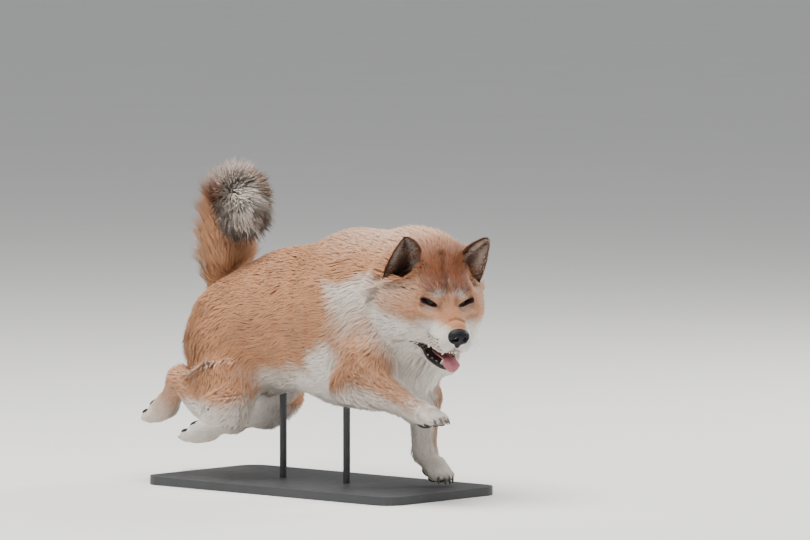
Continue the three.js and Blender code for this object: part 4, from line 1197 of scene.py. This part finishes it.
def lip_path(line, lift, skin, sink, reach=130, steps=61):
    """Where rays from outside, turning round the muzzle, first meet the skin along a lip's line."""
    path = []
    for turn in np.radians(np.linspace(-reach, reach, steps)):
        r = np.arange(60, 4, -0.25)
        x, y = 14 + r * np.cos(turn), r * np.sin(turn)
        ray = on_head(np.stack([x, y, lip_height(line, x) + lift], 1))
        hit = np.flatnonzero(skin(ray) < -sink)
        path.append(ray[hit[0] if len(hit) else -1])
    path = np.array(path)
    for _ in range(2):
        path[1:-1] = (path[:-2] + 2 * path[1:-1] + path[2:]) / 4
    return path


upper_lip = tube(lip_path(MOUTH_UPPER, 1.0, head, 1.8), 2.1, 8, flat=0.9)
lower_lip = tube(lip_path(MOUTH_LOWER, -1.2, jaw, 1.6), 2.7, 8, flat=0.9)
piece("lips", *joined(upper_lip, lower_lip), leather, "leather")

# Nose: broad pebbled leather, seated in the end of the muzzle, with two comma-shaped nostrils
# and a groove down to the lip
nose_shape = blend(
    5,
    egg([56, 0, -26], [9, 14.5, 10]),
    mirrored(egg([56, 7, -29], [8, 7, 8])),
    egg([55, 0, -36], [6, 4, 8]),
)
nostril = mirrored(
    blend(2, bone([70, 6.5, -28], [57, 6, -28], 3.4, 2.4), bone([62, 8, -29], [60, 14, -32], 2, 1.6))
)
philtrum = bone([66, 0, -30], [60, 0, -44], 0.7, 0.7)
nose_field = headed(carve(1.5, carve(1.2, nose_shape, nostril), philtrum))
NOSE_REACH, NOSE_CELL = 24, 0.9
nose_middle = on_head([56, 0, -30])
nose_points, nose_faces = nets(nose_field, nose_middle - NOSE_REACH, nose_middle + NOSE_REACH, NOSE_CELL)
nose_points = settle(nose_field, nose_points, 0, 2, 0.5)
nose_finish = material("nose_leather")
nose_colour = mixed(noise(200), (0.008, 0.008, 0.010, 1), (0.02, 0.02, 0.025, 1))
nose_shine = {"Roughness": 0.42, "Specular IOR Level": 0.15}
finish(nose_colour, nose_shine, Normal=bump(pebbled(620), 0.5, 0.0006))
piece("nose_leather", nose_points, nose_faces, nose_finish, "leather", ["nose"])

# Tongue: a broad thin muscle with a groove along it, wet and finely rough. It lies on the floor
# of the mouth and passes over the lower front teeth, its tip hanging
TONGUE = np.array(
    [[-4, -1, -70], [14, -1, -69], [33, -2, -67.6], [45, -3, -66], [56, -4, -69], [62, -4, -77]], float
)
TONGUE_WIDE, TONGUE_LEAN = [10, 11, 8.5, 9, 13, 8.5], [0, 0, 0, 0.1, 0.6, 1.1]
t = np.linspace(0, 1, 36)
spine = curve(TONGUE, t)
stations = np.linspace(0, 1, len(TONGUE))
round_end = np.sqrt(np.clip(1 - ((t - 0.8) / 0.21) ** 2 * (t > 0.8), 0.03, 1))
tongue_wide = np.interp(t, stations, TONGUE_WIDE) * round_end
tongue_lean = np.interp(t, stations, TONGUE_LEAN)
turn = np.linspace(0, 2 * np.pi, 32, endpoint=False)
across = np.cos(turn)
groove = 1.1 * np.exp(-((across / 0.16) ** 2)) * (np.sin(turn) > 0)
tongue_thick = 2.4 * np.sin(turn) + 1.2 * across**4 - groove
tongue_points = np.stack(
    [
        spine[:, 0:1] + tongue_thick * np.sin(tongue_lean)[:, None],
        spine[:, 1:2] + tongue_wide[:, None] * across,
        spine[:, 2:3] + tongue_thick * np.cos(tongue_lean)[:, None],
    ],
    -1,
)
n = len(turn)
tongue_ends = [tuple(range(n))[::-1], tuple(range((len(t) - 1) * n, len(t) * n))]
tongue_faces = bands(len(t), n) + tongue_ends
tongue_finish = material("tongue")
tongue_colour = mixed(noise(130), (0.33, 0.10, 0.13, 1), (0.50, 0.21, 0.25, 1))
tongue_shine = {"Roughness": 0.3, "Subsurface Weight": 0.15}
finish(tongue_colour, tongue_shine, Normal=bump(noise(1400), 0.35, 0.0004))
tongue_placed = on_head(tongue_points.reshape(-1, 3))
piece("tongue_flesh", tongue_placed, tongue_faces, tongue_finish, "tongue", ["tongue"])

# Teeth: small front teeth, long curved canines and blunt cheek teeth in both jaws, of pale
# enamel, each a tapered cone with its root sunk in the gum
TOOTH_ROOT, FRONT_TEETH, CHEEK_TEETH, CHEEK_STEP = 3, 3, 3, 9
tooth_finish = material("tooth")
finish(mixed(noise(260), (0.62, 0.55, 0.42, 1), (0.78, 0.73, 0.62, 1)), {"Roughness": 0.25})
teeth = []


def tooth(x, y, root_height, tall, thick, lean=0.0):
    t = np.linspace(0, 1, 7)
    height = np.sign(tall) * ((abs(tall) + TOOTH_ROOT) * t - TOOTH_ROOT)
    path = np.stack([x + lean * (t**2) * 4, y * (1 + 0.03 * t), root_height + height], 1)
    return tube(on_head(path), thick * np.sqrt(np.clip(1 - t**1.6, 0.003, 1)), 8)


def floor_at(x):
    return float(lip_height(MOUTH_LOWER, x))


def roof_at(x):
    return float(lip_height(MOUTH_UPPER, x))


for side in (1, -1):
    for k in range(FRONT_TEETH):
        teeth.append(tooth(43 - k * 1.5, side * (1.7 + k * 2.9), floor_at(43), 4.2, 1.4))
        teeth.append(tooth(47 - k * 1.6, side * (1.8 + k * 3.0), roof_at(47), -0.9, 1.4))
    teeth.append(tooth(37, side * 9.8, floor_at(37), 9, 2.3, 0.9))
    teeth.append(tooth(42, side * 12.6, roof_at(42), -3.4, 1.9, -0.3))
    for k in range(CHEEK_TEETH):
        below, above = 27 - k * CHEEK_STEP, 31 - k * CHEEK_STEP
        teeth.append(tooth(below, side * (13.2 + k * 2.6), floor_at(below), 1.8 + k * 0.4, 2.6))
        teeth.append(tooth(above, side * (15 + k * 2.8), roof_at(above), -2.4 - k * 0.4, 2.8))
piece("teeth", *joined(*teeth), tooth_finish)

# Claws and pads: blunt curved horn at the end of each toe, and cushions of black leather under
# the toes and the foot, flattened where they would pass the plate
horn = material("claw_horn")
horn_colour = mixed(noise(180), (0.06, 0.045, 0.038, 1), (0.20, 0.16, 0.13, 1))
finish(horn_colour, {"Roughness": 0.35}, Normal=bump(noise(700), 0.15, 0.0003))
claws, pads = [], []
PAD_CLEAR, CLAW_CLEAR = 0.35, 2.2  # lowest places above the plate


def cushion(at, basis, centre, radii, rows=10, sides=16):
    polar = np.linspace(0, np.pi, rows + 1)[1:-1]
    turn = np.linspace(0, 2 * np.pi, sides, endpoint=False)
    out = np.sin(polar)[:, None]
    ring = np.stack([out * np.cos(turn), out * np.sin(turn), np.cos(polar)[:, None] + turn * 0], -1)
    ball = np.concatenate([[[0, 0, 1]], ring.reshape(-1, 3), [[0, 0, -1]]])
    faces = [(0, 1 + k, 1 + (k + 1) % sides) for k in range(sides)]
    faces += [face[::-1] for face in bands(len(polar), sides, 1)]
    last = 1 + (len(polar) - 1) * sides
    faces += [(last + (k + 1) % sides, last + k, len(ball) - 1) for k in range(sides)]
    points = (ball * radii + centre) @ basis.T + at
    points[:, 2] = np.maximum(points[:, 2], PAD_CLEAR)
    return points, faces


for paw in paws.values():
    at, basis = paw["at"], paw["basis"]
    for tip_at in paw["tips"]:
        x, y, z = tip_at
        t = np.linspace(0, 1, 9)
        path = np.stack([x + TOE - 4.5 + 9.5 * t, y + 0 * t, z + 2.3 - 6.5 * t**2], 1)
        path = path @ basis.T + at
        path[:, 2] = np.maximum(path[:, 2], CLAW_CLEAR)
        claws.append(tube(path, 2.5 * np.sqrt(np.clip(1 - t**1.8, 0.01, 1)), 8))
        pads.append(cushion(at, basis, [x - 1.5, y, z - TOE + 1.2], [6, 5.2, 3]))
    pads.append(cushion(at, basis, [paw["long"] * 0.42, 0, -14.2], [10, 11, 4]))
piece("claws", *joined(*claws), horn, "leather")
piece("pads", *joined(*pads), leather, "leather")

# Whiskers: a few stiff tapered hairs, rooted in three rows in the dotted sides of the muzzle,
# pointing out, back and a little down
WHISKERS, WHISKER_RADIUS = 12, 0.22
whiskers = []
for side in (1, -1):
    for k in range(WHISKERS):
        x, z = 20 + (k % 4) * 7 + draw.uniform(-1, 1), -35 - (k // 4) * 4.5
        ray = on_head(np.stack([np.full(80, x), side * np.linspace(40, 0, 80), np.full(80, z)], 1))
        start = ray[np.flatnonzero(head(ray) < -2)[0]]
        aim = unit(np.array([-0.55 + 0.1 * (k % 4), side, -0.25 - 0.1 * (k // 4)])) @ HEAD.T
        t = np.linspace(0, 1, 8)[:, None]
        path = start + aim * t * draw.uniform(17, 27) + np.array([0, 0, -4]) * t**2
        whiskers.append(tube(path, WHISKER_RADIUS * (1 - 0.85 * t[:, 0]), 4))
whisker_finish = material("whisker")
finish(mixed(noise(40), (0.05, 0.04, 0.035, 1), (0.5, 0.45, 0.4, 1)), {"Roughness": 0.4})
piece("whiskers", *joined(*whiskers), whisker_finish)

# Display stand: a steel plate and two rods up to the brisket and belly, welded and painted in
# satin dark grey. Its shapes are the solids' own
paintwork = material("stand_paint")
paint_colour = mixed(noise(22, 5), (0.030, 0.032, 0.035, 1), (0.046, 0.048, 0.052, 1))
paint_rough = 0.42 + 0.16 * noise(60)
finish(paint_colour, Roughness=paint_rough, Normal=bump(noise(900), 0.12, 0.0003))
for node in ("stand_base", "stand_rod_front", "stand_rod_rear"):
    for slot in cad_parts[node].material_slots:
        slot.material = paintwork

# Studio: a wide pale floor under a pale sky, a broad lamp overhead with two weaker ones beside
# it, and the camera at the photograph's angle. Lengths here are in metres
AZIMUTH, ELEVATION, DISTANCE, FOCAL = math.radians(42), math.radians(4), 10.0, 320.0
LEVEL, RISE = math.cos(ELEVATION), math.sin(ELEVATION)
to_camera = np.array([math.sin(AZIMUTH) * LEVEL, -math.cos(AZIMUTH) * LEVEL, RISE])
rightward = np.array([math.cos(AZIMUTH), math.sin(AZIMUTH), 0])
upward = np.cross(to_camera, rightward)
FLOOR_HALF = 90.0
floor_mesh = bpy.data.meshes.new("studio_floor")
floor_points = [(FLOOR_HALF * x, FLOOR_HALF * y, 0) for x, y in ((-1, -1), (1, -1), (1, 1), (-1, 1))]
floor_mesh.from_pydata(floor_points, [], [(0, 1, 2, 3)])
floor = bpy.data.objects.new("studio_floor", floor_mesh)
bpy.context.scene.collection.objects.link(floor)
pale = material("studio_floor")
finish(mixed(noise(3), (0.78, 0.78, 0.77, 1), (0.82, 0.82, 0.81, 1)), {"Roughness": 0.9})
floor_mesh.materials.append(pale)
floor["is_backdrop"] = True


def lamp(name, right, up, ahead, size, power, colour):
    """A round soft lamp, placed as the camera sees it and turned to the animal."""
    light = bpy.data.lights.new(name, "AREA")
    light.shape, light.size, light.energy, light.color = "DISK", size, power, colour
    made = bpy.data.objects.new(name, light)
    spot = Vector(rightward * right + to_camera * ahead + np.array([0, 0, up]))
    made.location = spot
    made.rotation_euler = (Vector((0, 0, 0.2)) - spot).to_track_quat("-Z", "Y").to_euler()
    bpy.context.scene.collection.objects.link(made)


lamp("sky_lamp", right=-0.6, up=3.4, ahead=0.6, size=3.0, power=270, colour=(1.0, 0.98, 0.95))
lamp("front_lamp", right=-1.8, up=1.5, ahead=2.8, size=2.2, power=12, colour=(0.97, 0.98, 1.0))
lamp("edge_lamp", right=2.4, up=1.8, ahead=-1.6, size=1.2, power=70, colour=(1.0, 0.97, 0.93))
world = bpy.data.worlds.new("studio")
world.use_nodes = True
sky = world.node_tree.nodes["Background"].inputs
sky["Color"].default_value = (0.89, 0.9, 0.91, 1)
sky["Strength"].default_value = 0.48
bpy.context.scene.world = world
lens = bpy.data.cameras.new("camera")
lens.lens, lens.sensor_width, lens.clip_end = FOCAL, 36.0, 300.0
camera = bpy.data.objects.new("camera", lens)
CENTRE_HEIGHT, FRAME_RIGHT, FRAME_UP = 0.212, 0.118, 0.0933
view_centre = np.array([0, 0, CENTRE_HEIGHT]) + FRAME_RIGHT * rightward + FRAME_UP * upward
camera.matrix_world = Matrix.Translation(Vector(view_centre + to_camera * DISTANCE)) @ Matrix(
    np.stack([rightward, upward, to_camera], 1).tolist()
).to_4x4()
bpy.context.scene.collection.objects.link(camera)
bpy.context.scene.camera = camera

visual_box = [list(corner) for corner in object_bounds()]
{"cad": [list(map(float, c)) for c in cad_box], "visual": [list(map(float, c)) for c in visual_box]}
